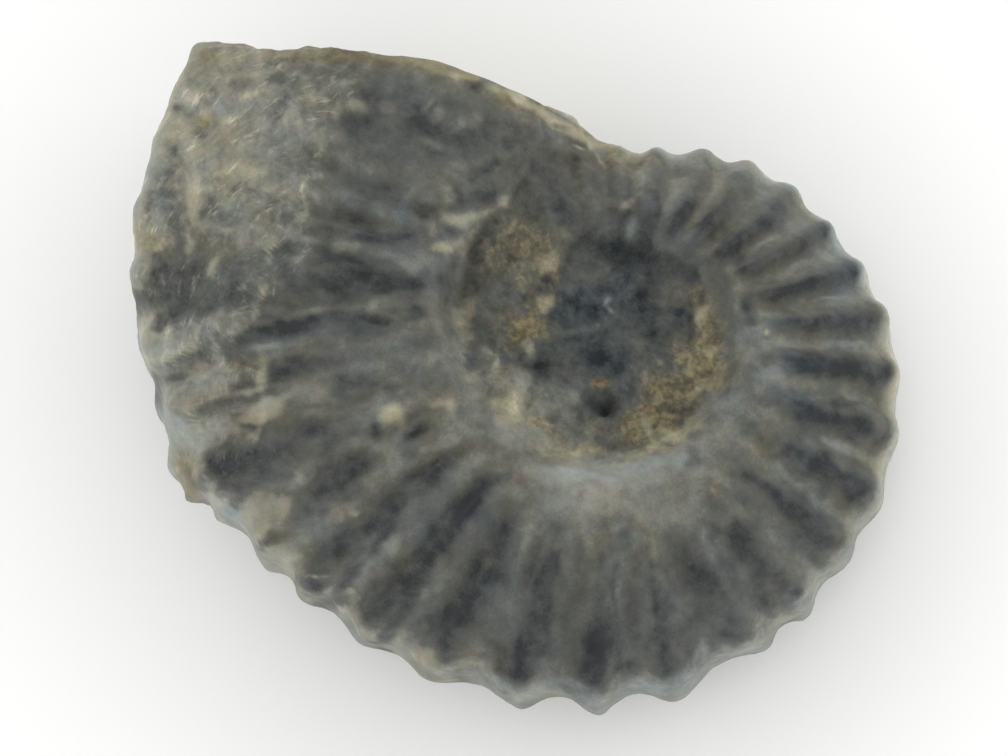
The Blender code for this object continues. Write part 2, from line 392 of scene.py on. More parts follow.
    def edge_radius(self, angle: Array, below: float) -> Array:
        """Find the fossil's outline: the last whorl, its broken mouth, then the thin whorl.

        Args:
            angle: Growth angles of the last whorl.
            below: 0 for the upper shoulder, 1 for the lower one.

        Returns:
            The radius at each angle.
        """
        whole = self.whorl_radius(angle, below)
        broken = curve(self.break_edge, angle)
        gap = np.sqrt((whole - broken) ** 2 + self.break_rounding ** 2)
        last = np.where(angle > self.break_edge[0][0], (whole + broken - gap) / 2.0, whole)
        thin = np.maximum(last, self.whorl_radius(angle - FULL_TURN, below))
        return np.where(angle > self.thin_whorl_start, thin, last)

    def across(self, growth: Array, radius: Array) -> Array:
        """Share of the way across a whorl's flank, 0 at the umbilicus and 1 at the shoulder."""
        rim = curve(self.rim_radius, growth)
        return np.clip((radius - rim) / (curve(self.outer_radius, growth) - rim), 0.0, 1.0)

    def rib_strength(self, growth: Array, radius: Array) -> Array:
        """Find how high a rib stands above its furrow.

        Args:
            growth: Growth angles.
            radius: Radii from the coil's axis.

        Returns:
            The height at each place, in millimetres.
        """
        across = self.across(growth, radius)
        fade = blend(growth, *self.rib_fade_angle) * blend(across, *self.rib_fade_place)
        start = curve(self.rib_start, growth)
        rise = blend(across, start, start + self.rib_rise)
        return curve(self.rib_height, growth) * rise * (1.0 - fade)

    def flank_height(self, growth: Array, radius: Array) -> Array:
        """Find the height of a whorl's ribbed side above the median plane.

        Args:
            growth: Growth angles.
            radius: Radii from the coil's axis.

        Returns:
            The height at each place.
        """
        across = self.across(growth, radius)
        crest = curve(self.crest_height, growth)
        shoulder = self.shoulder_share * curve(self.outer_radius, growth)
        rib = self.rib_strength(growth, radius) * (self.rib_wave(growth, across) - self.rib_middle)
        return shoulder + (crest - shoulder) * (1.0 - across ** self.flank_curve) + rib

    def wall_share(self, growth: Array, radius: Array) -> Array:
        """0 in the umbilicus, 1 on the whorl beside it."""
        rim = curve(self.rim_radius, growth)
        return blend(radius, rim - self.wall[0], rim + self.wall[1])

    def fill(self, x: Array, y: Array) -> Array:
        """Find the height of the rock that fills the umbilicus.

        Args:
            x: Places to the right of the coil's axis.
            y: Places behind the coil's axis.

        Returns:
            The height at each place.
        """
        away = np.minimum(np.hypot(x, y), self.fill_reach)
        # Slow waves of about 3 to 7 mm, the same ones as in the solid.
        lump = np.sin(1.1 * x + 0.6) * np.sin(0.9 * y - 0.4) + 0.5 * np.sin(1.9 * x - 1.3 * y + 1.0)
        level = self.fill_height + self.fill_dish * away * away - self.fill_slope * x
        return level + self.fill_lump * lump

    def remains(self, angle: Array, radius: Array) -> Array:
        """1 on the last whorl, 0 where the rock or the thin whorl shows."""
        return self.wall_share(angle, radius) * (1.0 - blend(angle, *self.remnant))

    def side_height(self, angle: Array, radius: Array) -> Array:
        """Find the height of the whole side: rock, thin whorl, and last whorl where it remains.

        Args:
            angle: Growth angles of the last whorl.
            radius: Radii from the coil's axis.

        Returns:
            The height at each place.
        """
        turn = np.radians(angle)
        fill = self.fill(radius * np.sin(turn), radius * np.cos(turn))
        inner = angle - FULL_TURN
        thin = fill + (self.flank_height(inner, radius) - fill) * self.wall_share(inner, radius)
        under = fill + (thin - fill) * blend(angle, *self.uncovered)
        return under + (self.flank_height(angle, radius) - under) * self.remains(angle, radius)

    def broken(self, angle: Array) -> Array:
        """1 along the broken mouth, 0 along the shell's own outer edge."""
        return blend(angle, *self.break_start) * (1.0 - blend(angle, *self.break_end))

    def grid_rim(self, angle: Array) -> Array:
        """Find where the fine rings of the grid begin.

        Args:
            angle: Growth angles of the last whorl.

        Returns:
            The radius at each angle.
        """
        rim = curve(self.rim_radius, angle)
        thin = curve(self.rim_radius, angle - FULL_TURN)
        return rim + (thin - rim) * blend(angle, *self.rim_join)


class Mark(Enum):
    """What a stain is made of, or the painted shade or highlight that it stands for; the value is
    its tone, from black 0 to white 1, and its warmth.
    """

    SLATE = (0.32, 0.28)
    OLIVE = (0.3, 0.6)
    CHALK = (0.54, 0.3)
    GREY = (0.4, 0.3)
    CLAY = (0.43, 0.6)
    BROWN = (0.26, 0.65)
    DARK = (0.21, 0.28)
    SAND = (0.44, 1.0)
    BLUE = (0.58, 0.0)
    RUST = (0.36, 1.25)
    PALE = (0.66, 0.7)
    STRAW = (0.56, 0.72)


@dataclass(frozen=True)
class Stain:
    """One stain or painted shade or highlight, an ellipse placed and turned as the camera sees it.
    """

    mark: Mark
    column: float
    row: float
    long: float
    wide: float
    strength: float = 0.5
    turn: float = 0.0


@dataclass(frozen=True)
class Dent:
    """One hollow or swelling on the side that shows; a hollow has a negative height."""

    height: float
    column: float
    row: float
    long: float
    wide: float
    turn: float = 0.0


def stains(mark: Mark, *spots: tuple[float, ...]) -> tuple[Stain, ...]:
    """Make stains of one kind, from the column, row, half length and so on of each."""
    return tuple(Stain(mark, *spot) for spot in spots)


# Hollows and swellings: height, column, row, half length, half width and turn.
DENTS: tuple[Dent, ...] = tuple(
    Dent(*spot) for spot in (
        (-0.95, 604, 404, 15, 11, -15), (-0.25, 479, 232, 24, 8, 66), (-0.2, 472, 262, 22, 7, 88),
        (-0.15, 484, 294, 14, 7, -20), (0.3, 522, 248, 44, 34, 20), (0.8, 482, 312, 15, 60),
        (0.6, 496, 388, 24, 34), (0.2, 530, 322, 24, 18), (-0.3, 612, 252, 30, 18),
        (-0.25, 547, 362, 22, 14, 10), (-0.2, 643, 294, 12, 9), (0.2, 703, 335, 16, 44),
        (0.2, 668, 408, 34, 22, 45), (0.15, 560, 392, 26, 18), (0.16, 196, 186, 38, 8, 84),
        (0.1, 245, 171, 28, 9, 8), (-0.14, 279, 512, 11, 10), (-0.14, 375, 431, 9, 7),
        (-0.16, 449, 228, 9, 7), (-0.12, 376, 317, 15, 5, -8), (-0.1, 413, 317, 15, 5, 10),
        (-0.12, 419, 425, 15, 7, 15), (-0.2, 571, 160, 34, 8, -8), (-0.15, 521, 184, 12, 6, 20),
        (-0.15, 200, 135, 9, 6), (-0.12, 767, 335, 6, 5), (-0.1, 228, 72, 16, 4, 70),
        (-0.1, 881, 358, 9, 8),
    )
)

# Stains, later ones over earlier ones: column, row, half length and half width in
# the photograph, then the strength where it isn't 0.5, and the turn where there is one.
# Some of these stand for painted shadow, sheen or highlight, not the stone's colour, as noted where
# they stand.
STAINS: tuple[Stain, ...] = (
    *stains(
        Mark.SLATE,
        (590, 620, 150, 62, 0.6), (470, 560, 70, 60, 0.4, 40), (478, 130, 60, 34, 0.9, -20),
        (385, 122, 66, 36, 0.8, -12), (192, 292, 46, 34, 0.8), (250, 290, 26, 20),
        (690, 560, 60, 40, 0.5, -30), (600, 225, 60, 26, 0.6), (668, 243, 56, 20, 0.8, -40),
        (255, 465, 60, 26, 0.5, 10), (175, 378, 20, 10, 0.6), (330, 150, 30, 20, 0.4),
        (238, 396, 22, 12, 0.6, 15), (210, 410, 22, 8, 0.5, 10), (722, 300, 15, 44, 0.8, 8),
        (440, 235, 60, 30, 0.5, 60), (490, 180, 50, 28, 0.6, 40), (360, 275, 70, 30, 0.7, -4),
        (300, 320, 60, 12, 0.4, 8), (460, 340, 24, 40, 0.3), (400, 430, 60, 26, 0.3, 20),
        (730, 600, 50, 34, 0.4, -35), (430, 135, 90, 44, 0.5, -24), (700, 590, 90, 44, 0.4, -30),
        (585, 215, 40, 44, 0.4),
    ),
    *stains(
        Mark.CHALK,
        (625, 470, 100, 17, 0.9), (548, 474, 46, 15, 0.8, -18), (702, 446, 30, 20, 0.7, 40),
        (735, 430, 20, 40, 0.4, 20), (505, 425, 40, 26, 0.4, -40), (455, 335, 12, 40, 0.3),
        (590, 505, 70, 14), (660, 510, 50, 16, 0.4, 10), (470, 470, 24, 14, 0.4, 40),
        (705, 172, 50, 14, 0.5, -8), (765, 195, 46, 16, 0.6, -30), (815, 240, 40, 18, 0.6, -48),
        (852, 305, 18, 40, 0.5, 12), (870, 345, 16, 30, 0.4), (855, 395, 22, 10, 0.5, -12),
        (845, 445, 26, 10, 0.4, -22), (800, 480, 30, 9, 0.4, -38), (770, 330, 26, 14, 0.4),
        (760, 505, 26, 9, 0.4, -44), (485, 655, 12, 24, 0.4, 20), (555, 668, 20, 9, 0.4),
        (430, 585, 18, 9, 0.5, 45), (700, 645, 9, 15, 0.7, -20), (635, 660, 10, 14, 0.4),
        (615, 677, 9, 5), (300, 550, 14, 10, 0.6, 30), (246, 508, 18, 9, 0.6, -30),
        (350, 600, 22, 9, 0.5, 40), (410, 640, 16, 9, 0.4, 40), (345, 298, 60, 8),
        (270, 345, 22, 6, 0.7, 10), (420, 265, 22, 10, 0.3, 20), (432, 360, 22, 14, 0.4),
        (330, 395, 40, 9, 0.4, 10), (300, 480, 26, 9, 0.5, 25), (190, 345, 42, 16, 0.6, 8),
        (200, 385, 34, 12, 0.8, 6), (212, 425, 22, 12, 0.5, 20), (262, 150, 60, 30, 0.4, 10),
        (250, 95, 50, 26, 0.35), (212, 75, 22, 22), (462, 168, 12, 10, 0.6, -30), (445, 190, 8, 10),
        (588, 208, 18, 12, 0.4), (340, 245, 50, 7, 0.5, -14), (345, 185, 40, 10, 0.3, -20),
        (292, 250, 20, 24, 0.4), (640, 590, 9, 40, 0.3, -4), (508, 610, 9, 34, 0.3, 22),
        (440, 560, 9, 40, 0.3, 40),
    ),
    *stains(
        Mark.CLAY,
        (505, 395, 38, 48, 0.9, 20), (540, 445, 30, 14, 0.8, -25), (676, 292, 26, 16, 0.7),
        (575, 560, 50, 40, 0.4, 10), (690, 602, 14, 12, 0.4), (345, 352, 14, 10),
        (395, 360, 24, 9, 0.5, 10), (340, 245, 40, 8, 0.5, -16), (500, 190, 30, 8, 0.4, 22),
        (625, 200, 14, 16), (760, 212, 26, 8, 0.4, -30), (610, 520, 60, 16),
        (440, 480, 16, 8, 0.4, 40), (660, 545, 14, 16), (285, 535, 20, 20, 0.3, 30),
        (520, 250, 48, 46, 0.9, 10), (500, 330, 26, 40, 0.7), (478, 300, 14, 60, 0.5, 6),
        (476, 385, 22, 30), (420, 480, 40, 16, 0.3, 40), (650, 450, 40, 8, 0.3, 20),
    ),
    *stains(
        Mark.GREY,
        (600, 190, 40, 30, 0.4), (560, 395, 30, 26, 1.0), (566, 428, 26, 18, 0.9),
        (578, 278, 20, 14, 0.7), (603, 322, 24, 7, 0.5, 20), (600, 343, 40, 9, 0.4, 15),
        (628, 345, 24, 10, 0.4), (316, 80, 44, 18, 0.6, -10), (470, 430, 40, 30, 0.5, 40),
        (400, 370, 60, 34, 0.3, 10), (640, 275, 22, 9, 0.5, -10), (655, 315, 16, 12, 0.3),
    ),
    *stains(
        Mark.OLIVE,
        (520, 190, 66, 46, 0.6), (560, 225, 26, 34), (470, 180, 40, 30, 0.4, 30),
        # The two olive stains at column 450 are painted shade of the umbilical wall.
        (450, 285, 8, 40, 0.6), (345, 74, 34, 8, 0.6), (450, 320, 8, 60, 0.4),
        (440, 140, 50, 14, 0.3, -25), (520, 140, 60, 14, 0.3, -25), (195, 280, 40, 30, 0.3),
    ),
    *stains(
        Mark.SLATE,
        (770, 520, 70, 46, 0.5, -40), (340, 480, 34, 18, 0.5, 40), (270, 255, 34, 16, 0.5, 10),
        (630, 620, 110, 50, 0.3), (390, 620, 40, 40, 0.3, 50), (380, 520, 40, 30, 0.4, 50),
        (480, 172, 40, 28, 0.6, 30), (553, 205, 22, 46, 0.8), (530, 148, 40, 18, 0.5, 20),
        (400, 152, 40, 18), (765, 480, 50, 22, 0.5, -35), (735, 540, 44, 22, 0.6, -40),
        # The slate stain at column 455 is painted shade of the umbilical wall.
        (455, 305, 9, 60, 0.6), (665, 262, 30, 18, 0.6), (735, 232, 40, 34, 0.5, 30),
        (770, 268, 34, 16, 0.4, 20), (725, 330, 12, 50), (430, 505, 44, 26, 0.5, 50),
    ),
    *stains(
        Mark.DARK,
        (372, 270, 50, 9, 0.7, -8), (404, 284, 15, 7, 0.6), (440, 278, 9, 8, 0.6),
        (343, 262, 26, 10, 0.7, -6), (328, 250, 15, 8, 0.5, -30), (418, 312, 13, 4, 0.6, 20),
        (370, 238, 36, 6, 0.5, 2), (332, 284, 26, 9, 0.6, -6), (386, 288, 20, 6, 0.7),
        (290, 325, 56, 9, 0.8, 9), (252, 337, 17, 7, 0.7, 25), (285, 367, 22, 9, 0.9, 25),
        (273, 386, 9, 8, 0.6), (311, 371, 11, 5, 0.4), (390, 388, 7, 7), (230, 460, 32, 20, 0.9, 5),
        (288, 455, 20, 11, 0.8, 10), (343, 476, 28, 10, 0.9, 42), (360, 458, 15, 8, 0.5, 20),
        (270, 540, 14, 6, 0.6, 30), (306, 580, 15, 10, 0.5, 30), (332, 506, 18, 10, 0.6, 40),
        (352, 493, 18, 8, 0.6, 32), (236, 502, 8, 14, 0.6, -35), (400, 508, 28, 8, 0.8, 52),
        (384, 536, 24, 8, 0.8, 52), (346, 578, 22, 8, 0.7, 46), (322, 602, 11, 8, 0.6, 30),
        (414, 427, 14, 7, 0.8, 12), (376, 431, 7, 8, 0.8), (449, 228, 8, 8, 0.7),
        (424, 470, 22, 7, 0.6, 28), (450, 512, 34, 8, 0.5, 50), (404, 612, 28, 8, 0.7, 50),
        (386, 638, 12, 8, 0.6, 30), (470, 580, 20, 8, 0.4, 56), (549, 572, 9, 26, 0.8, -8),
        (546, 610, 10, 24, 0.6, -12), (522, 646, 10, 20, 0.6, -25), (600, 635, 15, 26, 0.5, -2),
        (618, 592, 6, 16), (620, 540, 8, 15), (594, 670, 14, 14, 0.4), (668, 607, 9, 8, 0.6),
        (664, 645, 10, 18), (685, 625, 9, 14, 0.5, -15), (710, 528, 14, 9, 0.7, -35),
        (742, 545, 10, 20, 0.5, 35), (762, 483, 22, 8, 0.8, -35), (800, 470, 20, 7, 0.5, -35),
        (800, 520, 20, 8, 0.7, -38), (775, 575, 16, 8, 0.6, -42), (785, 602, 16, 7, 0.5, -45),
        (795, 594, 8, 6, 0.4, -40), (850, 438, 15, 7, 0.7, -15), (845, 402, 20, 5, 0.5, -10),
        (770, 400, 20, 5, 0.4, -5), (866, 490, 12, 7, 0.4, -30), (838, 362, 26, 6, 0.5, -6),
        (812, 360, 26, 7, 0.6, -6), (820, 324, 22, 6, 0.6, 6), (802, 286, 24, 7, 0.7, 18),
        (779, 294, 16, 7, 0.8, 14), (745, 306, 8, 10, 0.6), (752, 322, 8, 7),
        (762, 256, 14, 7, 0.7, 22), (735, 241, 20, 8, 0.9, 36), (707, 222, 18, 7, 0.9, 56),
        (682, 215, 20, 7, 0.8, 64), (652, 218, 24, 7, 0.7, 76), (623, 215, 22, 7, 0.6, 86),
        # The dark stain at column 575, row 162 is painted shadow where the broken mouth steps down
        # to the thin whorl.
        (665, 262, 16, 9, 0.4), (575, 162, 26, 6, 0.7), (557, 212, 9, 32, 0.7, -5),
        (541, 173, 10, 8, 0.7), (518, 187, 13, 6, 0.6, 25), (491, 168, 13, 6, 0.7, 12),
        (478, 196, 20, 7, 0.8, 14), (505, 213, 14, 5, 0.8, 10), (572, 238, 15, 12, 0.7),
        (515, 140, 30, 9, 0.4, 22), (440, 150, 26, 8, 0.5, -30), (424, 122, 28, 9, 0.5, -25),
        (390, 187, 15, 8), (350, 125, 34, 18, 0.3, -20), (475, 172, 14, 8, 0.5, 40),
        (455, 190, 8, 10, 0.4), (612, 250, 30, 14, 0.9, -4), (566, 261, 9, 6),
        (642, 291, 10, 7, 0.6), (570, 303, 14, 4, 0.4), (543, 361, 20, 13, 0.6),
        (598, 360, 12, 14, 0.3), (652, 330, 24, 26, 0.3), (603, 404, 20, 13, 0.8, -15),
        (575, 335, 16, 8, 0.4), (585, 398, 7, 10), (490, 336, 13, 8), (499, 311, 13, 5, 0.5, 20),
        (540, 592, 12, 30, 0.9, -10), (543, 640, 10, 18, 0.6, -14), (617, 590, 7, 24, 0.6),
        (400, 286, 24, 9, 0.8, -4), (375, 238, 30, 8, 0.6, -2), (330, 482, 28, 14, 0.8, 36),
        (390, 522, 40, 13, 0.6, 52), (416, 584, 20, 10, 0.6, 50), (336, 600, 14, 10, 0.6, 40),
        (230, 488, 14, 10, 0.6), (210, 210, 9, 16, 0.6), (165, 320, 16, 10, 0.6, 20),
        (146, 298, 8, 16), (882, 440, 10, 16, 0.6), (862, 505, 12, 12, 0.5, -30),
        (820, 562, 14, 10, 0.5, -40), (765, 608, 14, 9, 0.5, -45), (632, 668, 10, 12),
        (464, 682, 14, 6, 0.5, -30), (440, 136, 18, 12, 0.5, -20), (490, 166, 15, 8, 0.6, 14),
        (566, 200, 10, 40), (670, 268, 26, 18), (748, 305, 12, 20, 0.6),
        (742, 532, 14, 10, 0.6, -35), (600, 258, 40, 10, 0.4), (740, 260, 12, 10, 0.4, 30),
        (645, 245, 8, 18), (466, 602, 40, 12, 0.6, 52), (532, 622, 12, 48, 0.6, -19),
        (592, 660, 13, 32, 0.6, -14), (668, 655, 12, 26), (330, 300, 44, 10, 0.5, 8),
        (365, 282, 50, 10, 0.5, -6), (330, 233, 36, 7, 0.4, -8), (454, 258, 6, 22),
        (580, 232, 26, 24, 0.4), (611, 217, 10, 12, 0.7), (638, 228, 9, 8),
        (752, 430, 22, 8, 0.6, -42), (802, 455, 26, 8, 0.5, -35), (822, 494, 12, 14, 0.6, 20),
        (346, 466, 36, 16, 0.8, 22), (310, 505, 16, 10, 0.5, 30), (317, 588, 14, 9, 0.9, 12),
        (410, 438, 9, 9, 0.8), (662, 540, 12, 9), (738, 500, 16, 12, 0.5, -30),
        (420, 484, 24, 10, 0.5, 30), (355, 384, 30, 12, 0.5, 8), (690, 640, 14, 18, 0.5, -20),
        (795, 596, 10, 9, 0.6, -30), (438, 622, 20, 12, 0.5, 52), (620, 668, 10, 10, 0.4),
        (565, 330, 18, 8, 0.4), (450, 142, 30, 12, 0.5, -18), (280, 252, 26, 10, 0.4, 10),
        (180, 290, 26, 22, 0.4), (176, 225, 8, 30, 0.6, 4), (178, 254, 9, 10, 0.4),
        (232, 290, 18, 10, 0.5, 30), (160, 285, 14, 18, 0.5, 30), (160, 328, 9, 6, 0.7, 20),
        (214, 314, 14, 8, 0.5, 30), (172, 172, 13, 6, 0.6, 68), (199, 135, 9, 5),
        (176, 153, 5, 8, 0.5, -30), (245, 86, 16, 7, 0.4), (278, 80, 10, 8, 0.4),
        (306, 118, 7, 14, 0.4), (275, 253, 14, 7, 0.4, 10), (285, 220, 8, 7, 0.4),
        (243, 260, 9, 6, 0.4), (205, 215, 5, 12, 0.4), (205, 350, 5, 9, 0.4), (180, 378, 12, 6),
        (570, 350, 26, 10, 0.3, 10),
    ),
    *stains(
        Mark.BROWN,
        (474, 82, 17, 7, 1.0, -22), (376, 318, 16, 4, 1.0, -8), (424, 208, 18, 8, 0.8, 8),
        (352, 219, 30, 12, 0.6, -20), (228, 395, 24, 8, 0.6, 15), (276, 536, 14, 6, 0.6, 25),
        (300, 498, 14, 9, 0.5, 40), (521, 120, 18, 10, 0.5, -30), (700, 190, 10, 16),
        (800, 245, 20, 8, 0.5, 22), (620, 200, 20, 14, 0.3), (720, 590, 11, 8),
        (205, 455, 6, 18, 0.4), (178, 109, 11, 5, 0.7), (290, 295, 30, 10, 0.3, 5),
        # The brown stain at column 590, row 165 is painted shadow where the broken mouth steps
        # down.
        (640, 162, 14, 4, 0.6, 15), (150, 300, 6, 14, 0.5, 20), (590, 165, 40, 14, 0.4, -10),
        (520, 160, 40, 8, 0.4, 30), (395, 225, 34, 7, 0.4, -16),
    ),
    *stains(
        Mark.CLAY,
        (330, 480, 60, 46, 0.35, 30), (370, 452, 26, 12, 0.4, 10), (290, 505, 26, 22, 0.5, 30),
        (268, 514, 20, 18, 0.6), (262, 430, 14, 20, 0.4), (660, 505, 50, 16, 0.4),
        (563, 428, 40, 22, 0.8), (490, 372, 20, 22, 0.8), (300, 562, 10, 14, 0.8, 30),
        (426, 657, 14, 12, 0.9), (466, 312, 9, 36, 0.9), (205, 75, 12, 30, 0.3),
        (520, 400, 26, 24, 0.8), (795, 205, 26, 10, 0.5, -35), (790, 270, 30, 7, 0.5, 15),
        (800, 383, 26, 6, 0.5, -4), (880, 420, 8, 24, 0.6), (850, 468, 14, 8, 0.5, -30),
    ),
    *stains(
        Mark.SAND,
        (513, 236, 38, 26, 0.7, 15), (538, 252, 22, 18, 0.8), (500, 264, 28, 24, 0.7),
        (530, 285, 22, 14, 0.6), (472, 235, 8, 26, 0.5, -15), (620, 156, 16, 7, 0.7),
        (545, 303, 16, 10, 0.9, 10), (228, 82, 46, 28, 0.3), (455, 250, 20, 8),
        (590, 165, 50, 12, 0.4, -5), (330, 450, 60, 20, 0.2), (440, 76, 46, 7, 0.5, -8),
        (440, 246, 14, 6, 0.4), (508, 372, 22, 10, 0.4), (590, 430, 26, 9, 0.4),
        (551, 277, 14, 15, 0.8), (562, 234, 18, 13, 0.6), (508, 322, 14, 16, 0.7),
        (530, 327, 24, 18, 0.8), (514, 347, 14, 10, 0.6), (697, 298, 14, 15, 0.9, 30),
        (709, 330, 17, 40, 1.0, -4), (702, 364, 24, 34, 1.0, -8), (686, 392, 38, 27, 1.0, 50),
        (664, 414, 38, 28, 1.0, 40), (634, 430, 34, 22, 1.0, 15), (655, 384, 16, 26, 0.8, 10),
        (680, 350, 12, 20, 0.6), (540, 428, 15, 8, 0.8, -30), (557, 442, 18, 9, 0.9, -35),
        (590, 450, 20, 7, 0.8, -8), (337, 518, 10, 14, 0.6), (600, 540, 10, 10), (650, 542, 10, 12),
        (715, 492, 8, 20, 0.5, 10), (205, 122, 14, 8, 0.9, 20), (430, 68, 52, 7, 0.9, -8),
        (510, 100, 24, 7, 1.0, -28), (560, 124, 32, 7, 1.0, -30), (592, 136, 18, 7, 0.9, -35),
        (610, 148, 18, 6, 0.7, -10), (186, 470, 12, 26, 0.8, 8), (150, 246, 12, 10, 0.7, 30),
        (150, 215, 7, 20, 0.4), (188, 64, 8, 14, 0.4, 20), (500, 410, 20, 14, 0.4),
        (575, 190, 60, 10, 0.3, -20), (640, 162, 30, 8, 0.4),
    ),
    *stains(
        Mark.BROWN,
        (513, 258, 11, 7, 0.7), (544, 281, 7, 4, 0.8), (612, 446, 10, 6, 0.8),
        (627, 446, 14, 6, 0.7, 5), (668, 409, 9, 7, 0.7), (688, 414, 16, 6, 0.7, 50),
        (690, 330, 4, 15, 0.6), (695, 306, 6, 8, 0.6, 30), (580, 143, 18, 4, 0.8, -12),
        (500, 243, 14, 4, 0.5, -20), (653, 398, 6, 6), (530, 300, 10, 5, 0.4),
        (615, 428, 14, 12, 0.4), (650, 428, 10, 7),
    ),
    *stains(
        Mark.STRAW,
        (545, 303, 9, 7, 0.8, 10), (546, 262, 13, 10), (645, 450, 46, 7, 0.8, 13),
        (692, 424, 24, 8, 0.9, 47), (558, 450, 30, 9, 0.9, -18), (266, 512, 22, 18, 0.7),
        (180, 345, 26, 9, 0.7, 6), (222, 386, 16, 7, 0.8, 8), (190, 402, 12, 9, 0.6, 60),
        (264, 370, 6, 22, 0.7, 8), (270, 412, 26, 6, 0.7, 50), (348, 110, 26, 9, 0.4),
        (250, 180, 28, 10, 0.5, -12), (292, 196, 24, 6, 0.4, -28), (300, 312, 30, 5, 0.4, 10),
        (340, 140, 8, 16, 0.4), (430, 365, 8, 20, 0.4), (397, 418, 13, 13, 1.0),
        (447, 442, 12, 7, 0.5, 10), (320, 412, 24, 8, 0.4, 6), (440, 70, 44, 6, 0.8, -8),
        (520, 115, 12, 7, 0.5, -28), (585, 140, 26, 6, 0.6, -30), (205, 103, 8, 10),
        (178, 118, 10, 10), (263, 376, 5, 26, 0.5, 6), (450, 405, 14, 8, 0.6, 6), (540, 425, 14, 8),
        (712, 400, 8, 14, 0.4, -20), (198, 465, 9, 12, 0.6), (625, 160, 10, 10), (530, 350, 8, 10),
    ),
    *stains(
        Mark.RUST,
        (350, 58, 52, 9, 0.8, -3), (209, 58, 11, 8), (516, 265, 6, 3, 0.7),
        (600, 384, 10, 5, 1.2, 8), (533, 327, 17, 13, 0.7, -10), (188, 482, 9, 14, 0.6, 10),
        (244, 437, 3, 4, 0.8), (672, 430, 9, 5, 0.5, 30), (696, 402, 8, 7, 0.5, 40),
        (630, 420, 11, 8, 0.4), (650, 412, 6, 6, 0.4), (535, 425, 7, 6, 0.4), (712, 345, 6, 8, 0.4),
        (285, 415, 5, 10, 0.4), (504, 104, 10, 6, 0.4, -30),
    ),
    *stains(
        Mark.BLUE,
        (655, 464, 46, 7, 0.6, 12), (585, 476, 46, 7, 0.5, -8), (606, 301, 4, 5, 0.8),
        (612, 310, 7, 3, 0.6, -40), (767, 335, 4, 5, 1.2), (772, 343, 10, 7, 0.4),
        (222, 110, 4, 7, 0.9), (765, 244, 13, 2.5, 0.6, 34), (796, 268, 22, 4, 0.5, 20),
        (268, 347, 20, 4, 0.5, 8), (642, 178, 5, 8, 0.7), (630, 232, 8, 11, 0.4, -20),
        (830, 298, 22, 3, 0.5, 5), (840, 345, 26, 4, 0.4), (832, 444, 14, 4, 0.5, -22),
        (700, 650, 6, 12, 0.5, -20), (575, 330, 20, 5, 0.3, 15), (230, 510, 14, 4, 0.6, -35),
        (620, 590, 4, 30, 0.3, -4), (440, 690, 30, 5, 0.3, -20), (690, 690, 20, 5, 0.3, 20),
    ),
    *stains(
        Mark.PALE,
        (251, 97, 16, 2.5, 0.9, 17), (191, 97, 11, 6, 0.7, 20), (209, 97, 6, 4, 0.6),
        (225, 58, 9, 9, 0.4), (233, 122, 4, 6, 0.7, -30), (195, 152, 14, 10, 0.6, 20),
        (195, 196, 8, 22, 0.8, -4), (197, 220, 4, 11, 0.8, -10), (189, 242, 2.5, 16, 0.6),
        (184, 186, 3, 14, 0.6, -40), (246, 172, 30, 7, 0.7, 6), (225, 172, 9, 3, 0.7, 60),
        (286, 120, 12, 3, 0.8, 48), (304, 191, 4, 12, 0.6, 8), (316, 178, 9, 3, 0.5, 20),
        (310, 207, 4, 8), (160, 247, 8, 4, 0.8, 40), (155, 266, 14, 2.5, 0.6, 48),
        (226, 232, 8, 4, 0.6, 20), (272, 247, 9, 3, 0.6, 50), (268, 257, 3, 9),
        (215, 266, 5, 14, 0.7, -24), (240, 286, 3, 9, 0.6, -28), (265, 292, 3, 11, 0.6, -8),
        (256, 312, 10, 3, 0.5, 48), (200, 160, 14, 3, 0.5, 55), (215, 190, 14, 2.5, 0.5, 45),
        (230, 205, 12, 2.5, 0.5, 50), (350, 106, 14, 4, 0.3, 10), (337, 112, 4, 9, 0.3),
        (387, 107, 8, 6, 0.3), (352, 83, 12, 2.5, 0.4, 20), (438, 112, 9, 8, 0.5, 40),
        (427, 104, 3, 11, 0.4, -38), (468, 121, 18, 8, 0.35, 35), (432, 145, 14, 5, 0.3, -20),
        (447, 194, 7, 9, 0.3), (447, 246, 20, 7, 0.7, 12), (462, 216, 30, 8, 0.6, 12),
        (432, 228, 6, 12, 0.4), (465, 319, 13, 15, 1.0), (546, 266, 12, 6, 0.6),
        (504, 198, 8, 9, 0.7), (528, 345, 6, 12, 0.5, 8), (702, 317, 7, 14, 0.9, -8),
        (708, 336, 5, 8), (713, 352, 9, 8, 0.6), (703, 388, 10, 6, 0.6, 20), (645, 378, 6, 12, 0.4),
        (668, 437, 13, 4, 0.8, 30), (654, 445, 9, 4, 0.7, 20), (690, 372, 6, 7, 0.3),
        (660, 362, 5, 5, 0.3), (573, 452, 14, 4, 0.5, -20), (560, 434, 8, 5, 0.4),
        (491, 369, 10, 10, 1.0), (513, 401, 9, 11), (501, 411, 9, 6, 0.3), (470, 378, 9, 6, 0.3),
        (372, 305, 6, 10), (438, 402, 15, 7, 0.6, 4), (393, 412, 10, 9, 0.7, -30),
        (265, 414, 15, 6, 0.6, 60), (257, 433, 11, 4, 0.6, 72), (277, 401, 12, 4, 0.6, 25),
        (279, 508, 10, 12, 0.7), (265, 520, 5, 10, 0.6), (172, 350, 24, 7, 0.6, 8),
        (200, 392, 32, 6, 0.6, 18), (245, 178, 20, 8, 0.5, 8), (250, 415, 10, 12, 0.4, 60),
        (235, 328, 14, 5, 0.4, 25), (356, 108, 12, 8, 0.4), (172, 138, 8, 10, 0.4, 30),
        (262, 185, 40, 6, 0.4, -18), (165, 355, 10, 4), (190, 350, 3, 12),
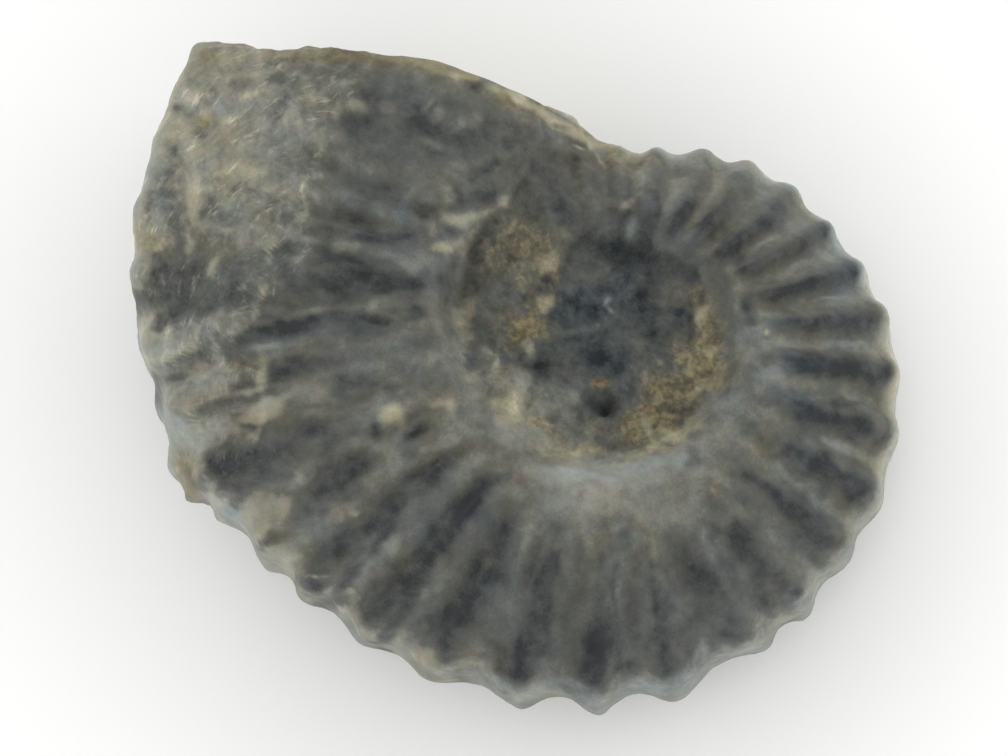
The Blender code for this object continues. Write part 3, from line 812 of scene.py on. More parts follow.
        (268, 400, 22, 4, 0.5, 40), (395, 416, 8, 7), (505, 92, 22, 5, 0.6, -24),
        (545, 110, 30, 5, 0.4, -28), (584, 134, 22, 5, 0.3, -32), (608, 148, 14, 5, 0.5, -30),
        (640, 158, 20, 4, 0.3, -6), (352, 512, 6, 4, 0.6), (300, 478, 4, 11, 0.4, 15),
        # The three thin pale lines on this line are a painted highlight along the lower-left
        # shoulder.
        (200, 440, 30, 1.6, 0.8, 98), (210, 488, 22, 1.6, 0.8, -62), (190, 415, 18, 1.6, 0.6, 105),
        (318, 577, 9, 1.4, 0.6, -5), (351, 590, 11, 1.3, 0.6, -50), (449, 76, 14, 5, 0.7, -10),
        (524, 101, 26, 6, 0.8, -28), (556, 121, 22, 6, 0.7, -28), (592, 147, 8, 6, 0.7, -30),
        (601, 159, 3, 11, 0.5, 30), (578, 148, 7, 2, 0.6, -20), (625, 205, 8, 6),
        (430, 668, 22, 3, 0.4, -28), (480, 664, 14, 3, 0.4), (510, 692, 12, 2.5, 0.5, -35),
        (170, 340, 4, 16), (196, 335, 3, 14, 0.5, 6), (215, 345, 3, 12), (185, 392, 14, 3, 0.6, 20),
        (205, 384, 12, 3, 0.6, 30), (222, 330, 3, 10, 0.4, 10), (254, 420, 18, 6, 0.7, 8),
        (268, 240, 16, 12, 0.5, -30), (140, 220, 5, 28, 0.5, -6), (182, 134, 14, 16, 0.5, 30),
        (170, 351, 28, 8, 0.5, 6), (262, 412, 14, 7, 0.6, 55), (262, 528, 7, 14, 0.6),
        # The pale stain at column 732, row 160 is a painted highlight along the top edge.
        (297, 556, 8, 8, 0.6, 30), (732, 160, 44, 10, 0.8, -16), (878, 335, 8, 24, 0.3, 4),
        (766, 334, 4, 5, 1.0), (140, 236, 8, 20, 0.7), (578, 444, 26, 10, 0.5, -10),
        (664, 438, 22, 7, 0.8, 22), (516, 402, 9, 22, 0.7), (502, 408, 12, 8, 0.4),
        (547, 305, 9, 9, 0.9), (512, 420, 18, 14, 0.4), (450, 404, 9, 12),
        (278, 402, 20, 12, 0.8, 60), (250, 390, 34, 6, 0.6, 10), (206, 398, 34, 6, 0.5, 14),
        (266, 508, 20, 16, 0.6), (250, 200, 18, 10, 0.4, -20), (175, 184, 12, 8, 0.5, -40),
        (204, 112, 8, 8, 0.6), (428, 660, 18, 8, 0.5, -30), (290, 565, 8, 14, 0.6, 30),
        (180, 80, 6, 24, 0.6, -24), (168, 116, 5, 22, 0.5, -26), (646, 428, 8, 12),
    ),
    *stains(
        Mark.SAND,
        (530, 326, 26, 16, 0.7), (516, 337, 10, 6, 0.6), (547, 306, 8, 8, 0.35),
        (640, 526, 22, 10, 0.3), (695, 488, 26, 14, 0.3, -20), (522, 305, 12, 7), (622, 170, 14, 9),
        (655, 160, 14, 5, 0.4), (350, 58, 90, 6, 0.5, -3), (430, 66, 40, 6, 0.5, -8),
        (300, 54, 50, 5), (553, 436, 22, 8, 0.5, -40), (598, 384, 9, 6, 0.6),
    ),
    *stains(
        Mark.CHALK,
        (556, 412, 28, 20, 0.4), (518, 382, 22, 14, 0.6, -20), (530, 438, 44, 12, 0.5, -6),
        (484, 366, 18, 26, 0.6, -24), (488, 382, 12, 12), (522, 490, 18, 12), (590, 520, 9, 26),
        (800, 228, 40, 8, 0.5, -36), (800, 272, 44, 9, 0.5, 12), (770, 366, 16, 6, 0.4),
        # The chalk stains from column 848, row 556 to column 703, row 676 run along the outer edge:
        # its pale tone with painted sheen.
        (420, 262, 24, 12), (300, 340, 16, 6, 0.3, 10), (848, 556, 8, 22, 0.8, -34),
        (812, 606, 9, 18, 0.8, -40), (748, 652, 40, 8, 0.8, 22), (703, 676, 22, 9, 0.8, 36),
        (205, 386, 36, 14, 0.6, 20), (282, 396, 30, 8, 0.6, 30), (270, 509, 24, 18),
        (290, 558, 10, 14, 0.6), (262, 184, 44, 9, 0.4, -6), (200, 232, 20, 12, 0.3),
        # The first two stains here, at rows 690 and 700, are painted sheen on the lower outer edge
        # over its own pale tone.
        (512, 690, 16, 6), (600, 700, 16, 6, 0.4), (440, 448, 26, 6, 0.5, 10),
        (520, 570, 9, 30, 0.5, -20), (645, 615, 8, 26), (372, 600, 6, 18, 0.5, -40),
        (700, 402, 16, 14, 0.3, 45), (720, 478, 16, 9, 0.5, -30), (820, 385, 34, 6, 0.5, -4),
        (870, 372, 12, 8), (330, 370, 50, 8, 0.3, 6),
    ),
    *stains(
        Mark.OLIVE,
        # The first four olive stains here are painted shadow of the umbilical wall, curving down
        # its left side.
        (497, 219, 14, 6, 0.9, 46), (479, 240, 15, 6, 0.9, 66), (471, 264, 18, 7, 0.8, 84),
        (477, 288, 16, 7, 0.6, 90), (529, 218, 22, 8, 0.8, -16), (488, 332, 14, 12, 0.7),
        (490, 284, 16, 16, 0.8), (497, 307, 10, 5, 0.7), (520, 186, 14, 9, 0.6, 20),
        (535, 150, 44, 18, 0.5, -30), (550, 186, 14, 14), (488, 344, 12, 7, 0.6),
        (326, 230, 20, 12, 0.4, -10), (366, 202, 16, 8, 0.4, -20), (365, 456, 30, 10, 0.4, 10),
        (549, 420, 8, 5),
    ),
    *stains(
        Mark.DARK,
        (556, 206, 10, 22, 0.7), (543, 364, 9, 12, 0.6), (478, 331, 6, 6), (606, 408, 12, 12, 0.6),
        (492, 167, 13, 6, 0.6, 16), (545, 282, 5, 5), (287, 274, 20, 8, 0.6, -45),
        (230, 306, 20, 9, 0.5, 8), (384, 292, 28, 9, 0.5, -14), (416, 318, 18, 7, 0.6, 15),
        (336, 440, 26, 9, 0.5, 25), (407, 448, 10, 14, 0.6, 20), (504, 481, 8, 11),
        (568, 376, 10, 16, 0.6, 40), (585, 685, 9, 7, 0.4), (692, 458, 10, 12, 0.4),
        (430, 218, 12, 6, 0.4), (452, 243, 8, 7, 0.4), (278, 388, 14, 7, 0.5, 20), (545, 292, 8, 8),
        (486, 346, 10, 7), (338, 482, 26, 18, 0.8, 30), (354, 462, 20, 11, 0.6, 20),
        (310, 508, 22, 10, 0.5, 20), (270, 476, 20, 9, 0.6, 10), (203, 484, 10, 7),
        (158, 268, 10, 13), (137, 303, 8, 18, 0.7), (158, 388, 8, 26, 0.6), (393, 388, 12, 9),
        (408, 306, 28, 14, 0.3), (386, 240, 28, 13, 0.4), (425, 585, 12, 9, 0.6, 30),
        (428, 546, 18, 9, 0.5, 50), (545, 596, 8, 20), (551, 650, 8, 20, 0.5, 10),
        # The dark stains at columns 560 and 596 here, and at column 545 below, are painted shadow
        # beside the broken mouth.
        (560, 125, 12, 4, 0.5, -25), (596, 137, 10, 5, 0.7, -30), (470, 206, 14, 8, 0.7, 10),
        (490, 192, 20, 11, 0.5, 10), (545, 170, 16, 22), (565, 195, 8, 22, 0.6), (574, 240, 14, 14),
        (832, 405, 26, 6, 0.6, -8), (768, 362, 12, 8), (648, 272, 14, 20),
        (680, 172, 16, 8, 0.4, -10), (718, 506, 20, 9, 0.4, -30), (806, 530, 18, 14, 0.4, -30),
        (556, 534, 10, 16, 0.4), (446, 132, 40, 16, 0.3, -20), (500, 140, 26, 14, 0.3, -20),
        (426, 482, 20, 10, 0.4, 20), (780, 450, 14, 12, 0.4), (750, 590, 40, 14, 0.3, -40),
        (640, 560, 14, 20, 0.3), (420, 630, 20, 10, 0.3, 50),
    ),
    *stains(
        Mark.STRAW,
        (285, 53, 46, 5, 0.7), (425, 62, 54, 6, 0.7, -7), (176, 92, 6, 36, 0.6, -24),
        (146, 238, 10, 18, 0.8, -10), (322, 120, 16, 40, 0.3), (245, 172, 16, 12, 0.4),
        (260, 320, 14, 6, 0.4), (282, 512, 14, 12, 0.4), (178, 172, 14, 10, 0.4, -40),
        (466, 340, 6, 20, 0.6, -10), (494, 384, 14, 10, 0.6, -20), (345, 160, 20, 16, 0.2),
        (640, 350, 9, 30, 0.3), (705, 318, 6, 14, 0.6),
    ),
    *stains(
        Mark.CHALK,
        # The first chalk stain here, at column 720, row 162, is a painted highlight along the top
        # edge.
        (720, 162, 44, 10, 0.7, -14), (870, 322, 14, 22), (775, 250, 40, 12, 0.3, 24),
        (700, 200, 10, 16), (455, 118, 12, 16, 0.4, -20), (572, 290, 12, 8, 0.6),
        (572, 430, 20, 14, 0.4), (610, 455, 24, 5, 0.4), (370, 448, 24, 7, 0.4, -10),
    ),
    *stains(
        Mark.BLUE,
        # The first seven blue stains run along the lower outer edge: painted sheen over its own
        # pale tone.
        (502, 684, 22, 9, 0.6, -34), (582, 690, 26, 8, 0.6, -26), (676, 681, 30, 8, 0.6, 24),
        (848, 556, 8, 20, 0.4, -34), (812, 608, 8, 16, 0.5, -40), (750, 650, 36, 7, 0.4, 22),
        (706, 674, 20, 8, 0.5, 36), (165, 346, 30, 10, 0.5, 10), (880, 375, 10, 22, 0.25),
        # The blue stain at row 164 is a painted highlight along the top edge.
        (735, 164, 40, 7, 0.4, -18),
    ),
)


@dataclass
class Skin:
    """Points of the fossil's surface with what each one needs for its looks."""

    points: Array
    angle: Array
    radius: Array
    above: Array
    venter: Array
    column: Array
    row: Array


@dataclass(frozen=True)
class Coat:
    """Look of one kind of surface: tone by angle, warmth, and what sways them."""

    tone: Knots
    warmth: float
    tone_sways: Sways
    warmth_sways: Sways
    warmth_hold: float = 1.0


# How the named patterns sway the tone inside a stain.
PLAIN_SWAYS: Sways = (("middle", 0.04), ("small", 0.05))
RIBBED_SWAYS: Sways = (("middle", 0.06), ("dark", -1.0))
SANDY_SWAYS: Sways = (("grain", 0.12), ("middle", 0.05))
MARK_SWAYS = {Mark.SAND: SANDY_SWAYS, Mark.SLATE: RIBBED_SWAYS, Mark.CHALK: RIBBED_SWAYS}


def sway(value: Array | float, sways: Sways, patterns: dict[str, Array]) -> Array:
    """Add patterns to a value.

    Args:
        value: The value without them.
        sways: Name and strength of each pattern to add.
        patterns: The patterns' values by name.

    Returns:
        The value at each point.
    """
    for name, strength in sways:
        value = value + strength * patterns[name]
    return value


@dataclass(frozen=True)
class FossilSurface:
    """Relief, stains, and painted shade, sheen and highlights that the fine surface adds to the
    coil.
    """

    coil: Coil = Coil()
    dents: tuple[Dent, ...] = DENTS
    marks: tuple[Stain, ...] = STAINS
    lower_share: float = 0.6
    spiral_radius: float = 20.0

    # Where the rock ends and where the outer shell layer remains.
    shell_edge: Pattern = Pattern(1.6, 4, 40, 0.35)
    shell_span: Span = (0.02, 0.2)
    layer_edge: Knots = (
        (243.0, 30.0), (248.0, 21.6), (252.0, 19.4), (258.0, 19.6), (262.0, 17.9), (266.0, 18.5),
        (271.0, 19.2), (276.0, 17.7), (282.0, 16.3), (290.0, 15.9), (297.0, 16.3), (304.0, 16.6),
        (311.0, 17.7), (321.0, 19.2), (330.0, 24.0), (340.0, 30.0),
    )
    layer_tear: Pattern = Pattern(1.8, 4, 50, 0.8)
    layer_softness: Knots = ((290.0, 1.0), (303.0, 5.0), (340.0, 6.0))
    layer_span: Span = (-0.15, 0.2)
    layer_venter_loss: float = 0.5
    break_span: Span = (0.6, 1.0)

    # Dark crest, painted highlight streak and brown slope of each rib.
    rib_waver: Pattern = Pattern(2.2, 3, 60)
    full_rib: float = 0.45
    venter_calm: float = 0.6
    rib_contrast: Knots = (
        (7.0, 0.1), (17.0, 0.13), (30.0, 0.12), (42.0, 0.13), (62.0, 0.18), (95.0, 0.2),
        (118.0, 0.17), (130.0, 0.16), (142.0, 0.1), (160.0, 0.08), (180.0, 0.1), (193.0, 0.14),
        (218.0, 0.18), (230.0, 0.17), (250.0, 0.12), (269.0, 0.15), (280.0, 0.05), (295.0, 0.09),
        (316.0, 0.06), (367.0, 0.05),
    )
    dark_lag: Knots = (
        (7.0, 0.13), (50.0, 0.12), (95.0, 0.08), (130.0, 0.08), (153.0, 0.22), (167.0, 0.08),
        (180.0, -0.1), (194.0, -0.04), (206.0, 0.07), (218.0, 0.12), (230.0, 0.08), (250.0, 0.0),
        (260.0, 0.04), (269.0, -0.22), (278.0, -0.1), (287.0, 0.12), (300.0, 0.28), (320.0, 0.0),
    )
    dark_start: Knots = (
        (7.0, -0.3), (60.0, -0.05), (85.0, 0.1), (106.0, 0.15), (120.0, 0.3), (135.0, 0.4),
        (180.0, 0.3), (205.0, 0.15), (228.0, 0.05), (240.0, 0.3), (255.0, 0.25), (275.0, 0.05),
        (367.0, 0.05),
    )
    dark_waver: Pattern = Pattern(3.0, 1, 62, 0.1)
    dark_rise: float = 0.3
    dark_width: float = 1.3
    wear_level: float = 0.97
    wear: Pattern = Pattern(2.0, 3, 65, 0.35)
    wear_limits: Span = (0.3, 1.3)
    highlight_patches: Pattern = Pattern(2.8, 2, 67, 0.9)
    highlight_places: Span = (-0.38, 0.62)
    highlight_width: float = 0.12
    brown_rise: Span = (0.05, 0.25)
    brown_fall: Span = (0.3, 0.5)

    # Thin leaves that the shell layer splits into, with a painted highlight on each broken step.
    leaf_squash: float = 0.5
    leaf_levels: Pattern = Pattern(2.4, 4, 150, 3.2)
    leaf_patches: Pattern = Pattern(1.6, 2, 155)
    leaf_span: Span = (-0.05, 0.4)
    leaf_edge: float = 0.14
    leaf_step: float = 0.2

    # Relief in millimetres.
    grain_size: float = 0.34
    grain_seed: int = 70
    grain_height: float = 0.08
    rock_lumps: Pattern = Pattern(1.5, 4, 80, 0.16)
    swells: Pattern = Pattern(3.2, 3, 90, 0.1)
    ripples: Pattern = Pattern(0.9, 3, 95, 0.05)
    fibre_squash: float = 0.3
    fibres: Pattern = Pattern(1.2, 3, 97, 0.06)
    layer_depth: float = 0.13
    lamina_depth: float = 0.05
    break_lumps: Pattern = Pattern(2.0, 4, 160, 0.3)
    dent_edge: Pattern = Pattern(0.8, 2, 105, 0.25)

    # Stains: their soft edges, and how far their outlines are pushed about, in pixels.
    stain_span: Span = (0.2, 1.4)
    stain_edge: Pattern = Pattern(0.8, 3, 110, 0.3)
    column_push: Pattern = Pattern(1.2, 3, 170, 3.5)
    row_push: Pattern = Pattern(1.2, 3, 175, 3.5)

    # Patterns of tone and warmth, and the coats in the order in which they cover each other.
    wide: Pattern = Pattern(5.0, 2, 120)
    middle: Pattern = Pattern(1.9, 3, 125)
    small: Pattern = Pattern(0.7, 2, 130)
    hue: Pattern = Pattern(2.2, 3, 135)
    flaky: Pattern = Pattern(1.8, 4, 140)
    flaky_squash: float = 0.4
    # The outer edge's coat, its own pale tone with painted sheen, reaches this far onto the flank.
    sheen_brim_width: Span = (0.05, 0.75)
    sheen_brim_share: float = 0.4
    side_calm: float = 0.8
    rib_coolness: Knots = (
        (7.0, 1.6), (60.0, 1.5), (100.0, 1.9), (150.0, 1.3), (200.0, 0.7), (250.0, 0.4),
        (300.0, 1.2),
    )
    # The flank's "light" sways are the painted highlight streak beside each rib: paler and cooler.
    flank_coat: Coat = Coat(
        ((0.0, 0.42), (367.0, 0.42)),
        0.42,
        (
            ("wide", 0.03), ("middle", 0.045), ("small", 0.035), ("dark", -1.0), ("light", 0.04),
            ("brown", -0.02),
        ),
        (("hue", 0.35), ("cooled", -1.0), ("light", -0.15), ("brown", 0.1)),
    )
    layer_coat: Coat = Coat(
        ((0.0, 0.48), (367.0, 0.48)),
        0.5,
        # "edge" is a painted highlight along the broken steps of the shell's leaves.
        (("flaky", 0.07), ("middle", 0.06), ("small", 0.05), ("edge", 0.08), ("dark", -0.8)),
        (("hue", 0.25),),
        0.6,
    )
    # Outer edge: its own pale tone, raised by painted sheen and the light that the edge catches
    # from the sides.
    venter_and_sheen_coat: Coat = Coat(
        (
            (0.0, 0.64), (60.0, 0.64), (95.0, 0.66), (120.0, 0.57), (150.0, 0.5), (200.0, 0.5),
            (240.0, 0.55), (300.0, 0.62), (367.0, 0.64),
        ),
        0.25,
        (("flaky", 0.02), ("middle", 0.05), ("dark", -1.0)),
        (("hue", 0.2),),
        0.7,
    )
    break_coat: Coat = Coat(
        ((305.0, 0.42), (324.0, 0.42), (334.0, 0.6), (350.0, 0.63), (366.0, 0.6)),
        0.7,
        (("middle", 0.1), ("small", 0.05)),
        (("wide", 0.2),),
    )
    rock_coat: Coat = Coat(
        ((0.0, 0.3), (367.0, 0.3)),
        0.15,
        (("middle", 0.06), ("small", 0.05), ("grain", 0.06)),
        (("middle", 0.25),),
    )

    def shell(self, skin: Skin) -> Array:
        """Tell the whorls from the rock.

        Args:
            skin: The surface's points.

        Returns:
            1 on any whorl, 0 on the rock in the umbilicus.
        """
        radius = skin.radius + self.shell_edge.at(skin.points)
        inner = skin.angle - FULL_TURN
        thin = self.coil.wall_share(inner, radius) * blend(skin.angle, *self.coil.uncovered)
        return blend(np.maximum(self.coil.remains(skin.angle, radius), thin), *self.shell_span)

    def layer(self, skin: Skin) -> Array:
        """Find where the outer shell layer remains on the last chamber.

        Args:
            skin: The surface's points.

        Returns:
            1 where it remains, 0 where it has gone.
        """
        edge = curve(self.layer_edge, skin.angle)
        soft = curve(self.layer_softness, skin.angle)
        torn = self.layer_tear.at(skin.points) * np.sqrt(soft)
        low, high = self.layer_span
        share = blend(skin.radius - edge + torn, low * soft, high * soft)
        return share * self.shown(skin) * (1.0 - self.layer_venter_loss * skin.venter)

    def shown(self, skin: Skin) -> Array:
        """1 on the side that shows, less on the lower one."""
        return self.lower_share + (1.0 - self.lower_share) * skin.above

    def growth(self, skin: Skin) -> Array:
        """Find the growth angle of the whorl that shows.

        Args:
            skin: The surface's points.

        Returns:
            The angle at each point, a full turn less on the thin whorl.
        """
        covered = self.coil.remains(skin.angle, skin.radius) < MIDDLE
        thin = (skin.angle > self.coil.uncovered[0]) & covered
        return np.where(thin, skin.angle - FULL_TURN, skin.angle)

    def rib_tones(self, skin: Skin) -> tuple[Array, Array, Array]:
        """Find how far each point is on a rib's dark crest, painted highlight and brown far slope.

        Args:
            skin: The surface's points.

        Returns:
            Three shares: the dark crest, the painted highlight streak on the side that grew
            first, where the rib's slope would catch light, and the brown slope on the side
            that grew last.
        """
        growth = self.growth(skin)
        across = self.coil.across(growth, skin.radius)
        turns = self.coil.rib_turns(growth + self.rib_waver.at(skin.points), across)
        phase = turns - np.round(turns)
        strength = np.clip(self.coil.rib_strength(growth, skin.radius) / self.full_rib, 0.0, 1.0)
        strength = strength * (1.0 - self.venter_calm * skin.venter)
        start = curve(self.dark_start, growth) + self.dark_waver.at(skin.points)
        share = blend(across, start, start + self.dark_rise) * curve(self.rib_contrast, growth)
        worn = np.clip(self.wear_level + self.wear.at(skin.points), *self.wear_limits)
        bright = np.clip(MIDDLE + self.highlight_patches.at(skin.points), 0.0, 1.0)
        lag = curve(self.dark_lag, growth)
        crest = (0.5 + 0.5 * np.cos(2.0 * math.pi * (phase - lag))) ** self.dark_width
        # Painted highlight: a pale streak on the rib's slope, where light would catch it.
        light = sum(np.exp(-(((phase - at) / self.highlight_width) ** 2)) for at in self.highlight_places)
        brown = blend(phase, *self.brown_rise) * (1.0 - blend(phase, *self.brown_fall))
        return crest * strength * share * worn, light * strength * bright, brown * strength

    def laminae(self, skin: Skin) -> tuple[Array, Array]:
        """Find the thin leaves that the shell layer splits into.

        Args:
            skin: The surface's points.

        Returns:
            The leaf's level, in leaves, and 1 along a leaf's broken edge.
        """
        level = self.leaf_levels.at(self.spiral(skin, self.leaf_squash))
        part = level - np.floor(level)
        seen = blend(self.leaf_patches.at(skin.points), *self.leaf_span)
        edge = np.exp(-((part / self.leaf_edge) ** 2)) * seen
        return np.floor(level) + blend(part, 0.0, self.leaf_step), edge

    def break_share(self, skin: Skin) -> Array:
        """1 on the broken mouth, 0 on the shell's own outer edge."""
        return self.coil.broken(skin.angle) * blend(skin.venter, *self.break_span)

    def ellipse(self, skin: Skin, spot: Stain | Dent, ragged: Array) -> Array:
        """Find the points that a stain or a dent covers.

        Args:
            skin: The surface's points.
            spot: The stain or dent.
            ragged: How far its outline is off at each point, in radii.

        Returns:
            1 inside it, 0 well outside it.
        """
        turn = math.radians(spot.turn)
        east = skin.column - spot.column
        north = spot.row - skin.row
        along = (east * math.cos(turn) + north * math.sin(turn)) / spot.long
        aside = (north * math.cos(turn) - east * math.sin(turn)) / spot.wide
        away = np.hypot(along, aside) + ragged
        return (1.0 - blend(away, *self.stain_span)) * self.shown(skin)

    def relief(self, skin: Skin) -> Array:
        """Find the height that the fine surface adds.

        Args:
            skin: The surface's points.

        Returns:
            The height along each point's normal, in millimetres.
        """
        grain, _ = grains(skin.points, self.grain_size, self.grain_seed)
        rock = self.rock_lumps.at(skin.points) + self.grain_height * (grain - MIDDLE)
        smooth = self.swells.at(skin.points) + self.ripples.at(skin.points)
        fibres = self.fibres.at(self.spiral(skin, self.fibre_squash))
        leaf, _ = self.laminae(skin)
        layer = (self.layer_depth + fibres + self.lamina_depth * leaf) * self.layer(skin)
        shell = self.shell(skin)
        total = rock * (1.0 - shell) + (smooth + layer) * shell
        total = total + self.break_lumps.at(skin.points) * self.break_share(skin)
        ragged = self.dent_edge.at(skin.points)
        for dent in self.dents:
            total += dent.height * self.ellipse(skin, dent, ragged)
        return total

    def spiral(self, skin: Skin, squash: float = 1.0) -> Array:
        """Find places along the whorl and across it, for marks that follow growth.

        Args:
            skin: The surface's points.
            squash: Width of a lump across the whorl for a width of 1 along it.

        Returns:
            Places in millimetres, three to a row.
        """
        along = np.radians(skin.angle) * self.spiral_radius
        inward = curve(self.coil.outer_radius, skin.angle) - skin.radius
        return np.stack([along, inward / squash, skin.points[:, 2]], axis=1)

    def side(self, skin: Skin) -> Array:
        """Find the outer edge of the shell with the brim beside it, where the edge's own pale
        tone and its painted sheen reach onto the flank.

        Args:
            skin: The surface's points.

        Returns:
            1 on the outer edge, less on its brim, 0 on the flank.
        """
        inward = curve(self.coil.outer_radius, skin.angle) - skin.radius
        brim = self.sheen_brim_share * (1.0 - blend(inward, *self.sheen_brim_width))
        return np.maximum(skin.venter, brim)

    def patterns(self, skin: Skin) -> dict[str, Array]:
        """Work out the patterns that sway tone and warmth.

        Args:
            skin: The surface's points.

        Returns:
            Each pattern's values, by the name that coats and stains use.
        """
        dark, light, brown = self.rib_tones(skin)
        dark = dark * (1.0 - self.side_calm * self.side(skin))
        _, edge = self.laminae(skin)
        _, shade = grains(skin.points, self.grain_size, self.grain_seed)
        return {
            "wide": self.wide.at(skin.points),
            "middle": self.middle.at(skin.points),
            "small": self.small.at(skin.points),
            "hue": self.hue.at(skin.points),
            "flaky": self.flaky.at(self.spiral(skin, self.flaky_squash)),
            "edge": edge,
            "grain": shade - MIDDLE,
            "dark": dark,
            # "light" is the painted highlight streak beside each rib crest.
            "light": light,
            "brown": brown,
            "cooled": curve(self.rib_coolness, skin.angle) * dark,
        }

    def tones(self, skin: Skin) -> tuple[Array, Array]:
        """Find the stone's tone, from black 0 to white 1, and its warmth at each point, with
        painted shade, sheen and highlights included.

        Args:
            skin: The surface's points.

        Returns:
            The tone, and the warmth: 0 for blue-grey, 1 for yellow-brown.
        """
        patterns = self.patterns(skin)
        covers = (
            (self.flank_coat, np.ones(len(skin.points))),
            (self.layer_coat, self.layer(skin)),
            (self.venter_and_sheen_coat, self.side(skin)),
            (self.break_coat, self.break_share(skin)),
            (self.rock_coat, 1.0 - self.shell(skin)),
        )
        tone = warmth = np.zeros(len(skin.points))
        for coat, share in covers:
            own_tone = sway(curve(coat.tone, skin.angle), coat.tone_sways, patterns)
            own_warmth = sway(coat.warmth, coat.warmth_sways, patterns)
            tone = tone + (own_tone - tone) * share
            warmth = warmth + (own_warmth - warmth) * share * coat.warmth_hold
        ragged = self.stain_edge.at(skin.points)
        bent = replace(
            skin,
            column=skin.column + self.column_push.at(skin.points),
            row=skin.row + self.row_push.at(skin.points),
        )
        own = {
            mark: sway(mark.value[0], MARK_SWAYS.get(mark, PLAIN_SWAYS), patterns) for mark in Mark
        }
        for stain in self.marks:
            amount = np.minimum(stain.strength * self.ellipse(bent, stain, ragged), 1.0)
            tone = tone + (own[stain.mark] - tone) * amount
            warmth = warmth + (stain.mark.value[1] - warmth) * amount
        return tone, warmth


